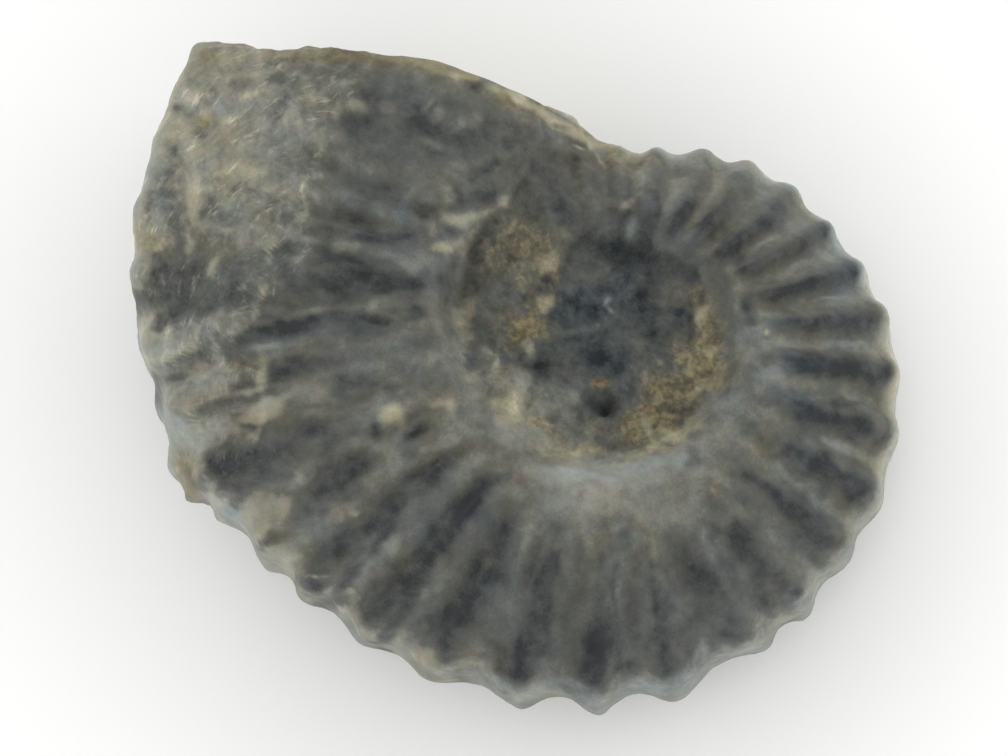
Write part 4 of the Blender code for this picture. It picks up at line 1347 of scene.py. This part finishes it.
@dataclass(frozen=True)
class Fossil:
    """The whole fossil as one fine mesh."""

    surface: FossilSurface = FossilSurface()
    view: Viewpoint = Viewpoint()
    rest: Rest = Rest()
    name: str = "ammonite_surface"
    columns: int = 880
    column_samples: int = 1441
    column_growth: float = 0.6
    seam_angle: float = 7.0
    flank_rows: int = 72
    lower_rows: int = 22
    wall_rows: int = 8
    fill_rows: tuple[tuple[int, float, int], ...] = ((8, 0.2, 9), (4, 0.5, 16), (2, 0.97, 26))
    lower_fill_rows: tuple[tuple[int, float, int], ...] = ((8, 0.4, 5), (4, 0.95, 8))
    lower_strides: tuple[int, ...] = (1, 2, 4)
    pole_share: float = 0.02
    rim_margin: float = 0.6
    shoulder_round: float = 0.55
    furrow_round: float = 0.45
    break_round: float = 0.12
    drop_share: float = 0.6
    venter_swell: float = 0.18
    break_hollow: float = 0.5
    venter_layer: float = 0.6
    upper_bend: Knots = ((25.0, 0.5), (50.0, 0.85), (72.0, 1.0), (90.0, 1.0))
    lower_bend: Knots = ((90.0, 1.0), (50.0, 0.4))

    def column_angles(self) -> Array:
        """Spread the columns, closer together where the fossil is wide.

        Returns:
            The growth angle of each column.
        """
        even = np.linspace(self.seam_angle, self.seam_angle + FULL_TURN, self.column_samples)
        width = self.surface.coil.edge_radius(even, 0.0) ** self.column_growth
        total = np.concatenate([[0.0], np.cumsum(0.5 * (width[1:] + width[:-1]))])
        steps = np.arange(self.columns) / self.columns * total[-1]
        return np.interp(steps, total, even)

    def ring(
        self, angle: Array, radius: Array, height: Array, above: float, venter: float
    ) -> Array:
        """Make the points of one ring.

        Args:
            angle: Growth angle of each point.
            radius: Radius of each point.
            height: Height of each point above the median plane.
            above: 1 on the side that shows, 0 on the lower one.
            venter: 1 on the outer edge, 0 on the flank.

        Returns:
            A row for each point: x, y, z, angle, radius, above and venter.
        """
        turn = np.radians(angle)
        shares = [np.full(len(angle), above), np.full(len(angle), venter)]
        place = [radius * np.sin(turn), radius * np.cos(turn), height]
        return np.stack([*place, angle, radius, *shares], 1)

    def side(self, angle: Array, below: float, rows: int) -> Rings:
        """Make the rings of one side, from the middle to where the shoulder begins to round.

        Args:
            angle: Growth angle of each column.
            below: 0 for the side that shows, 1 for the lower one.
            rows: Rings between the umbilicus and the shoulder.

        Returns:
            (stride, ring) pairs; a ring of stride 2 has every second column.
        """
        coil = self.surface.coil
        facing = 1.0 - 2.0 * below
        above = 1.0 - below
        start = coil.grid_rim(angle) - self.rim_margin
        end = coil.edge_radius(angle, below) - self.rounding(angle, below)
        rings = []
        low = self.pole_share
        for stride, high, count in self.lower_fill_rows if below else self.fill_rows:
            part = angle[::stride]
            for share in np.linspace(low, high, count, endpoint=False):
                radius = share * start[::stride]
                height = facing * coil.side_height(part, radius)
                rings.append((stride, self.ring(part, radius, height, above, 0.0)))
            low = high
        for share in np.linspace(0.0, 1.0, rows):
            radius = start + share * (end - start)
            height = facing * coil.side_height(angle, radius)
            rings.append((1, self.ring(angle, radius, height, above, 0.0)))
        return rings

    def rounding(self, angle: Array, below: float) -> Array:
        """Find the radius of a rounded shoulder: tight on a node and the break, wide in a furrow.

        Args:
            angle: Growth angle of each column.
            below: 0 for the upper shoulder, 1 for the lower one.

        Returns:
            The radius at each angle.
        """
        coil = self.surface.coil
        back = below * curve(coil.lower_nodes_back, angle)
        furrow = 1.0 - coil.rib_wave(angle + back, 1.0)
        broken = coil.broken(angle)
        whole = self.shoulder_round + self.furrow_round * furrow
        return whole * (1.0 - broken) + self.break_round * broken

    def edge(self, angle: Array) -> Rings:
        """Make the rings over the upper shoulder, down the outer edge and round the lower one.

        Args:
            angle: Growth angle of each column.

        Returns:
            (stride, ring) pairs, as in side.
        """
        coil = self.surface.coil
        broken = coil.broken(angle)
        bulge = self.venter_swell * (1.0 - broken) - self.break_hollow * broken
        shoulders: list[Rings] = []
        corners = []
        for below, steps in ((0.0, self.upper_bend), (1.0, self.lower_bend)):
            facing = 1.0 - 2.0 * below
            end = coil.edge_radius(angle, below)
            bend = self.rounding(angle, below)
            top = coil.side_height(angle, end - bend)
            drop = np.minimum(bend, self.drop_share * top)
            corners.append((end, facing * (top - drop)))
            rings = []
            for degrees, venter in steps:
                turn = math.radians(degrees)
                radius = end - bend * (1.0 - math.sin(turn))
                height = facing * (top - drop * (1.0 - math.cos(turn)))
                rings.append((1, self.ring(angle, radius, height, 1.0 - below, venter)))
            shoulders.append(rings)
        (upper, high), (lower, low) = corners
        wall = []
        for share in np.linspace(0.0, 1.0, self.wall_rows + 2)[1:-1]:
            swell = bulge * (1.0 - (2.0 * share - 1.0) ** 2)
            radius = upper * (1.0 - share) + lower * share + swell
            height = high + (low - high) * share
            wall.append((1, self.ring(angle, radius, height, 1.0 - share, 1.0)))
        return shoulders[0] + wall + shoulders[1]

    def lower_side(self, angle: Array) -> Rings:
        """Make the rings of the lower side from the shoulder inwards.

        Args:
            angle: Growth angle of each column.

        Returns:
            (stride, ring) pairs, as in side, with fewer columns further in.
        """
        rings = []
        last = len(self.lower_strides) - 1
        for index, (stride, points) in enumerate(reversed(self.side(angle, 1.0, self.lower_rows))):
            wanted = max(stride, self.lower_strides[min(index, last)])
            rings.append((wanted, points[:: wanted // stride]))
        return rings

    def faces(self, rings: Rings, starts: list[int]) -> list[tuple[int, ...]]:
        """Join each ring to the next, with triangles where the stride changes.

        Args:
            rings: The rings in order.
            starts: Index of each ring's first point.

        Returns:
            The corners of each face.
        """
        made: list[tuple[int, ...]] = []
        for index in range(len(rings) - 1):
            first, second = starts[index], starts[index + 1]
            one, two = len(rings[index][1]), len(rings[index + 1][1])
            for step in range(min(one, two)):
                after = (step + 1) % min(one, two)
                if one == two:
                    made.append((first + step, first + after, second + after, second + step))
                elif two > one:
                    mid = second + 2 * step + 1
                    made.append((first + step, mid, second + 2 * step))
                    made.append((first + step, first + after, mid))
                    made.append((first + after, second + 2 * after, mid))
                else:
                    mid = first + 2 * step + 1
                    made.append((first + 2 * step, mid, second + step))
                    made.append((mid, second + after, second + step))
                    made.append((mid, first + 2 * after, second + after))
        return made

    def build(self) -> bpy.types.Object:
        """Make the mesh with its relief and the attributes its material reads.

        Returns:
            The fossil, linked into the scene.
        """
        angle = self.column_angles()
        rings = self.side(angle, 0.0, self.flank_rows) + self.edge(angle) + self.lower_side(angle)
        counts = [len(points) for _, points in rings]
        starts = [0, *itertools.accumulate(counts)]
        table = np.concatenate([points for _, points in rings])
        points = table[:, :3]
        # The lower side has the stains of the side that shows, seen through the fossil.
        raised = np.column_stack([points[:, :2], np.abs(points[:, 2])])
        skin = Skin(points, *table[:, 3:].T, *self.view.picture(raised))
        faces = self.faces(rings, starts)
        top, last = len(table), starts[-2]
        faces += [(top, (step + 1) % counts[0], step) for step in range(counts[0])]
        faces += [
            (top + 1, last + step, last + (step + 1) % counts[-1]) for step in range(counts[-1])
        ]
        poles = np.array([table[0, :3] * [0, 0, 1], table[-1, :3] * [0, 0, 1]])
        mesh = bpy.data.meshes.new(self.name)
        mesh.from_pydata(np.concatenate([points, poles]).tolist(), [], faces)
        mesh.update()
        normals = np.zeros(len(mesh.vertices) * 3)
        mesh.vertex_normals.foreach_get("vector", normals)
        relief = self.surface.relief(skin)
        moved = points + normals.reshape(-1, 3)[:top] * relief[:, None]
        poles[:, 2] += [relief[0], -relief[-1]]
        laid = self.rest.lay(np.concatenate([moved, poles])) * MM
        mesh.vertices.foreach_set("co", laid.ravel())
        self.add_attributes(mesh, skin)
        mesh.update()
        mesh.shade_smooth()
        piece = bpy.data.objects.new(self.name, mesh)
        bpy.context.scene.collection.objects.link(piece)
        return piece

    def add_attributes(self, mesh: bpy.types.Mesh, skin: Skin) -> None:
        """Store what the material reads: tone, warmth, kind of surface and places along growth.

        Args:
            mesh: The fossil's mesh, whose last two points are its poles.
            skin: The surface's points without the poles.
        """
        surface = self.surface
        spiral = surface.spiral(skin)
        tone, warmth = surface.tones(skin)
        values = {
            "tone": tone,
            "warmth": warmth,
            "rock": 1.0 - surface.shell(skin),
            "layer": np.maximum(surface.layer(skin), self.venter_layer * skin.venter),
            "along": spiral[:, 0],
            "inward": spiral[:, 1] + spiral[:, 2],
        }
        for name, value in values.items():
            attribute = mesh.attributes.new(name, "FLOAT", "POINT")
            attribute.data.foreach_set("value", np.append(value, [value[0], value[-1]]))


# Settings of the nodes that the materials use most.
SUBTRACT = {"operation": "SUBTRACT"}
MULTIPLY = {"operation": "MULTIPLY"}
MULTIPLY_ADD = {"operation": "MULTIPLY_ADD"}
DIVIDE = {"operation": "DIVIDE"}
LEAST = {"operation": "MINIMUM"}
SMOOTH = {"interpolation_type": "SMOOTHSTEP"}
MIX_COLOURS = {"data_type": "RGBA"}
TINT_COLOURS = {"data_type": "RGBA", "blend_type": "MULTIPLY"}
# Numbers of the Mix node's colour sockets.
FIRST_COLOUR = 6
SECOND_COLOUR = 7
MIXED_COLOUR = 2


def linear(code: str) -> tuple[float, float, float, float]:
    """Turn an sRGB colour into a linear one.

    Args:
        code: The colour as a hex value.

    Returns:
        Red, green and blue, with full alpha.
    """
    parts = [int(code[index : index + 2], 16) / 255.0 for index in (1, 3, 5)]
    bent = [part / 12.92 if part <= 0.04045 else ((part + 0.055) / 1.055) ** 2.4 for part in parts]
    return bent[0], bent[1], bent[2], 1.0


def add_node(
    tree: Tree,
    kind: str,
    settings: dict[str, Any] | None = None,
    inputs: dict[str | int, Any] | tuple[Any, ...] = (),
    output: str | int = 0,
) -> Socket:
    """Add one node to a tree.

    Args:
        tree: The node tree that gets the node.
        kind: Blender's name for the kind of node, without the word ShaderNode.
        settings: The node's own properties.
        inputs: A value, or a socket to link from, for each input by name or number, or in order.
        output: Name or number of the output that is wanted.

    Returns:
        That output, which knows its node.
    """
    node = tree.nodes.new("ShaderNode" + kind)
    for name, value in (settings or {}).items():
        setattr(node, name, value)
    for name, value in inputs.items() if isinstance(inputs, dict) else enumerate(inputs):
        if isinstance(value, Socket):
            tree.links.new(value, node.inputs[name])
        else:
            node.inputs[name].default_value = value
    return node.outputs[output]


@dataclass(frozen=True)
class Grit:
    """One fine pattern of the stone: width of its lumps in millimetres, and its detail."""

    size_mm: float
    detail: float


@dataclass(frozen=True)
class FossilStone:
    """Limestone steinkern with remains of its shell.

    The shell's own lime has turned dark and dense on the ribs, where handling
    has polished it. Grey clay stays in the furrows. The eye sees dark bluish
    ribs between paler furrows, with one dull sheen over the whole shell.
    """

    # Clay-grey limestone and iron-stained limestone, each from black to white.
    cool: tuple[str, ...] = ("#06080a", "#20272c", "#565c5d", "#878f8f", "#b8bebb", "#e9eeea")
    warm: tuple[str, ...] = ("#0a0806", "#2a261d", "#625d49", "#988f6c", "#c6be9b", "#efe9d3")
    rust_colour: str = "#7d5a41"
    rust_span: Span = (0.95, 1.45)
    rust_most: float = 0.7
    # The faint purple and green that clay minerals give in patches.
    casts: tuple[str, str] = ("#fff7ff", "#f8fff8")
    cast: Grit = Grit(0.45, 4.0)
    cast_span: Span = (-0.2, 0.2)
    # Worn limestone is smoother than the sandy rock, whose grains scatter the light.
    specular: float = 0.3
    roughness: float = 0.6
    rock_roughness: float = 0.35
    speck_roughness: float = 0.2
    # Clots of clay, about half a millimetre wide in the photograph.
    speck: Grit = Grit(0.5, 3.0)
    speck_tone: float = 0.15
    # Crystals of calcite, really 0.05 mm or less, and drawn as coarse as they need to show.
    fleck: Grit = Grit(0.13, 2.0)
    fleck_tone: float = 0.1
    # Grains of the fine to medium sand in the umbilicus.
    sand: Grit = Grit(0.3, 2.0)
    sand_span: Span = (0.3, 0.9)
    sand_tone: float = 0.26
    sand_warmth: float = 0.5
    # Crumbs of the shell layer, as fine as they show.
    scale: Grit = Grit(0.32, 3.0)
    scale_tone: float = 0.12
    # Fibres of the shell layer, length and width; real ones are finer, so these are bundles.
    fibre_mm: Span = (1.5, 0.5)
    fibre_tone: float = 0.16
    # Bright flakes where the layer splits, length and width, in clusters.
    flake_mm: Span = (1.2, 0.34)
    flake_span: Span = (0.03, 0.2)
    flake_tone: float = 0.15
    cluster: Grit = Grit(2.0, 2.0)
    cluster_span: Span = (-0.08, 0.08)
    # Fibres and flakes lie aslant to the growth and bend by about a millimetre.
    stroke_turn: float = 42.0
    stroke_detail: float = 3.0
    stroke_roughness: float = 0.6
    bend: Grit = Grit(2.4, 0.0)
    bend_reach: float = 1.1
    # How high flakes and sand stand, as a share of the specks.
    flake_height: float = 0.6
    sand_height: float = 1.2
    bump_strength: float = 0.5
    bump_mm: float = 0.07

    def lumps(self, tree: Tree, place: Socket, grit: Grit) -> Socket:
        """Make a pattern of lumps of a real size.

        Args:
            tree: The material's node tree.
            place: The object's own coordinates.
            grit: Size and detail of the lumps.

        Returns:
            Values between -0.5 and 0.5.
        """
        inputs = {"Vector": place, "Scale": 1.0 / (grit.size_mm * MM), "Detail": grit.detail}
        return add_node(tree, "Math", SUBTRACT, (add_node(tree, "TexNoise", {}, inputs), MIDDLE))

    def bent_places(self, tree: Tree, place: Socket) -> list[Socket]:
        """Push the places along the whorl and across it to and fro, so that strokes bend.

        Args:
            tree: The material's node tree.
            place: The object's own coordinates.

        Returns:
            The place along the growth and the place inwards, in millimetres.
        """
        scale = 1.0 / (self.bend.size_mm * MM)
        inputs = {"Vector": place, "Scale": scale, "Detail": self.bend.detail}
        lean = add_node(tree, "TexNoise", {}, inputs, "Color")
        shifts = add_node(tree, "SeparateColor", {}, (lean,)).node.outputs
        places = []
        for name, shift in zip(("along", "inward"), shifts):
            own = add_node(tree, "Attribute", {"attribute_name": name}, {}, "Fac")
            shift = add_node(tree, "Math", SUBTRACT, (shift, MIDDLE))
            places.append(add_node(tree, "Math", MULTIPLY_ADD, (shift, self.bend_reach, own)))
        return places

    def strokes(self, tree: Tree, places: list[Socket], size_mm: Span) -> Socket:
        """Make a pattern of strokes aslant to the growth of the whorl.

        Args:
            tree: The material's node tree.
            places: Places along the growth and inwards.
            size_mm: Length and width of a stroke.

        Returns:
            Values between -0.5 and 0.5.
        """
        turn = math.radians(self.stroke_turn)
        rows = ((math.cos(turn), math.sin(turn)), (-math.sin(turn), math.cos(turn)))
        parts = []
        for (first, second), size in zip(rows, size_mm):
            value = add_node(tree, "Math", MULTIPLY, (places[1], second))
            value = add_node(tree, "Math", MULTIPLY_ADD, (places[0], first, value))
            parts.append(add_node(tree, "Math", DIVIDE, (value, size)))
        inputs = {
            "Vector": add_node(tree, "CombineXYZ", {}, tuple(parts)),
            "Scale": 1.0,
            "Detail": self.stroke_detail,
            "Roughness": self.stroke_roughness,
        }
        return add_node(tree, "Math", SUBTRACT, (add_node(tree, "TexNoise", {}, inputs), MIDDLE))

    def colour(self, tree: Tree, place: Socket, tone: Socket, warmth: Socket) -> Socket:
        """Turn tone and warmth into the stone's colour.

        Args:
            tree: The material's node tree.
            place: The object's own coordinates.
            tone: From black 0 to white 1.
            warmth: 0 for blue-grey, 1 for yellow-brown, more for rust.

        Returns:
            The colour.
        """
        ramps = []
        for codes in (self.cool, self.warm):
            ramps.append(add_node(tree, "ValToRGB", {}, (tone,)))
            stops = ramps[-1].node.color_ramp.elements
            while len(stops) < len(codes):
                stops.new(MIDDLE)
            for index, code in enumerate(codes):
                stops[index].position = index / (len(codes) - 1)
                stops[index].color = linear(code)
        rust = add_node(tree, "MapRange", SMOOTH, (warmth, *self.rust_span))
        hue = self.lumps(tree, place, self.cast)
        purple, green = (linear(code) for code in self.casts)
        share = add_node(tree, "MapRange", SMOOTH, (hue, *self.cast_span))
        inputs = {0: share, FIRST_COLOUR: purple, SECOND_COLOUR: green}
        cast = add_node(tree, "Mix", MIX_COLOURS, inputs, MIXED_COLOUR)
        colour = ramps[0]
        for settings, share, second in (
            (MIX_COLOURS, add_node(tree, "Math", LEAST, (warmth, 1.0)), ramps[1]),
            (
                MIX_COLOURS,
                add_node(tree, "Math", MULTIPLY, (rust, self.rust_most)),
                linear(self.rust_colour),
            ),
            (TINT_COLOURS, 1.0, cast),
        ):
            inputs = {0: share, FIRST_COLOUR: colour, SECOND_COLOUR: second}
            colour = add_node(tree, "Mix", settings, inputs, MIXED_COLOUR)
        return colour

    def material(self) -> bpy.types.Material:
        """Build the node material.

        Returns:
            The finished material.
        """
        made = bpy.data.materials.new("fossil_limestone")
        made.use_nodes = True
        tree = made.node_tree
        shader = tree.nodes["Principled BSDF"]
        place = add_node(tree, "TexCoord", output="Object")
        tone, warmth, rock, layer = (
            add_node(tree, "Attribute", {"attribute_name": name}, {}, "Fac")
            for name in ("tone", "warmth", "rock", "layer")
        )
        speck, fleck, scale, sand, cluster = (
            self.lumps(tree, place, grit)
            for grit in (self.speck, self.fleck, self.scale, self.sand, self.cluster)
        )
        bent = self.bent_places(tree, place)
        fibre = self.strokes(tree, bent, self.fibre_mm)
        flake = self.strokes(tree, bent, self.flake_mm)
        bright = add_node(tree, "MapRange", SMOOTH, (flake, *self.flake_span))
        cluster = add_node(tree, "MapRange", SMOOTH, (cluster, *self.cluster_span))
        sandy = add_node(tree, "MapRange", SMOOTH, (warmth, *self.sand_span))
        bright = add_node(tree, "Math", MULTIPLY, (bright, cluster))
        bright, fibre, scale = (
            add_node(tree, "Math", MULTIPLY, (part, layer)) for part in (bright, fibre, scale)
        )
        grit = add_node(tree, "Math", MULTIPLY, (sand, rock))
        sandy = add_node(tree, "Math", MULTIPLY, (grit, sandy))
        for part, strength in (
            (speck, self.speck_tone),
            (fleck, self.fleck_tone),
            (fibre, self.fibre_tone),
            (scale, self.scale_tone),
            (bright, self.flake_tone),
            (sandy, self.sand_tone),
        ):
            tone = add_node(tree, "Math", MULTIPLY_ADD, (part, strength, tone))
        warmth = add_node(tree, "Math", MULTIPLY_ADD, (sandy, self.sand_warmth, warmth))
        dull = add_node(tree, "Math", MULTIPLY_ADD, (rock, self.rock_roughness, self.roughness))
        dull = add_node(tree, "Math", MULTIPLY_ADD, (speck, self.speck_roughness, dull))
        height = add_node(tree, "Math", MULTIPLY_ADD, (bright, self.flake_height, speck))
        height = add_node(tree, "Math", MULTIPLY_ADD, (grit, self.sand_height, height))
        inputs = {
            "Height": height, "Strength": self.bump_strength, "Distance": self.bump_mm * MM,
        }
        shader.inputs["Specular IOR Level"].default_value = self.specular
        for name, value in (
            ("Base Color", self.colour(tree, place, tone, warmth)),
            ("Roughness", dull),
            ("Normal", add_node(tree, "Bump", {}, inputs)),
        ):
            tree.links.new(value, shader.inputs[name])
        return made


@dataclass(frozen=True)
class WhitePaper:
    """Uncoated white paper, pressed in the mill: no gloss, so only soft shadows show on it."""

    colour: str = "#f9f9f8"
    roughness: float = 0.9

    def material(self) -> bpy.types.Material:
        """Build the plain material.

        Returns:
            The finished material.
        """
        made = bpy.data.materials.new("white_paper")
        made.use_nodes = True
        shader = made.node_tree.nodes["Principled BSDF"]
        shader.inputs["Base Color"].default_value = linear(self.colour)
        shader.inputs["Roughness"].default_value = self.roughness
        return made


@dataclass(frozen=True)
class Studio:
    """White floor, soft light from the sides of a white tent, and the camera."""

    view: Viewpoint = Viewpoint()
    rest: Rest = Rest()
    floor_size: float = 3.0
    light_colour: str = "#ffffff"
    tent_span: Span = (0.35, 0.95)
    horizon_strength: float = 2.15
    zenith_strength: float = 0.36
    nearest_shown: float = 0.01

    def add_floor(self) -> None:
        """Lay the pale floor and mark it as stage."""
        half = self.floor_size / 2.0
        mesh = bpy.data.meshes.new("floor")
        corners = [(-half, -half, 0.0), (half, -half, 0.0), (half, half, 0.0), (-half, half, 0.0)]
        mesh.from_pydata(corners, [], [(0, 1, 2, 3)])
        floor = bpy.data.objects.new("floor", mesh)
        bpy.context.scene.collection.objects.link(floor)
        mesh.materials.append(WhitePaper().material())
        LOG.info("%s: %.1f m wide", floor.name, self.floor_size)

    def add_world(self) -> None:
        """Light the scene as a white tent does: bright all round, dimmer overhead."""
        world = bpy.data.worlds.new("white_tent")
        world.use_nodes = True
        tree = world.node_tree
        place = add_node(tree, "TexCoord", output="Generated")
        height = add_node(tree, "SeparateXYZ", {}, (place,), "Z")
        inputs = (height, *self.tent_span, self.horizon_strength, self.zenith_strength)
        strength = add_node(tree, "MapRange", SMOOTH, inputs)
        background = tree.nodes["Background"]
        background.inputs["Color"].default_value = linear(self.light_colour)
        tree.links.new(strength, background.inputs["Strength"])
        bpy.context.scene.world = world

    def add_camera(self) -> None:
        """Put the camera where the photograph was taken from."""
        tilt = math.radians(self.view.elevation)
        back = Vector((0.0, -math.cos(tilt), math.sin(tilt)))
        right = Vector((1.0, 0.0, 0.0))
        up = back.cross(right)
        across, above = self.view.aim()
        aim = right * across + up * above
        facing = Matrix((right, up, back)).transposed().to_4x4()
        place = Matrix.Translation((aim + back * self.view.distance()) * MM) @ facing
        data = bpy.data.cameras.new("camera")
        data.lens = self.view.lens
        data.sensor_width = self.view.sensor
        data.clip_start = self.nearest_shown
        camera = bpy.data.objects.new("camera", data)
        camera.matrix_world = Matrix.Translation(self.rest.shift()) @ self.rest.turn() @ place
        bpy.context.scene.collection.objects.link(camera)
        bpy.context.scene.camera = camera
        LOG.info("%s: %.2f m away", camera.name, self.view.distance() * MM)

    def build(self) -> None:
        """Make the floor, the light and the camera."""
        self.add_floor()
        self.add_world()
        self.add_camera()
        bpy.context.scene.view_settings.view_transform = "Standard"


def main() -> None:
    """Build the fossil and the studio."""
    logging.basicConfig(level=logging.INFO, format="%(message)s")
    fossil = Fossil().build()
    fossil.data.materials.append(FossilStone().material())
    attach(fossil, BODY)
    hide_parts(NODE)
    fossil.data.calc_loop_triangles()
    LOG.info("%s: %d triangles", fossil.name, len(fossil.data.loop_triangles))
    Studio().build()


if __name__ == "__main__":
    main()
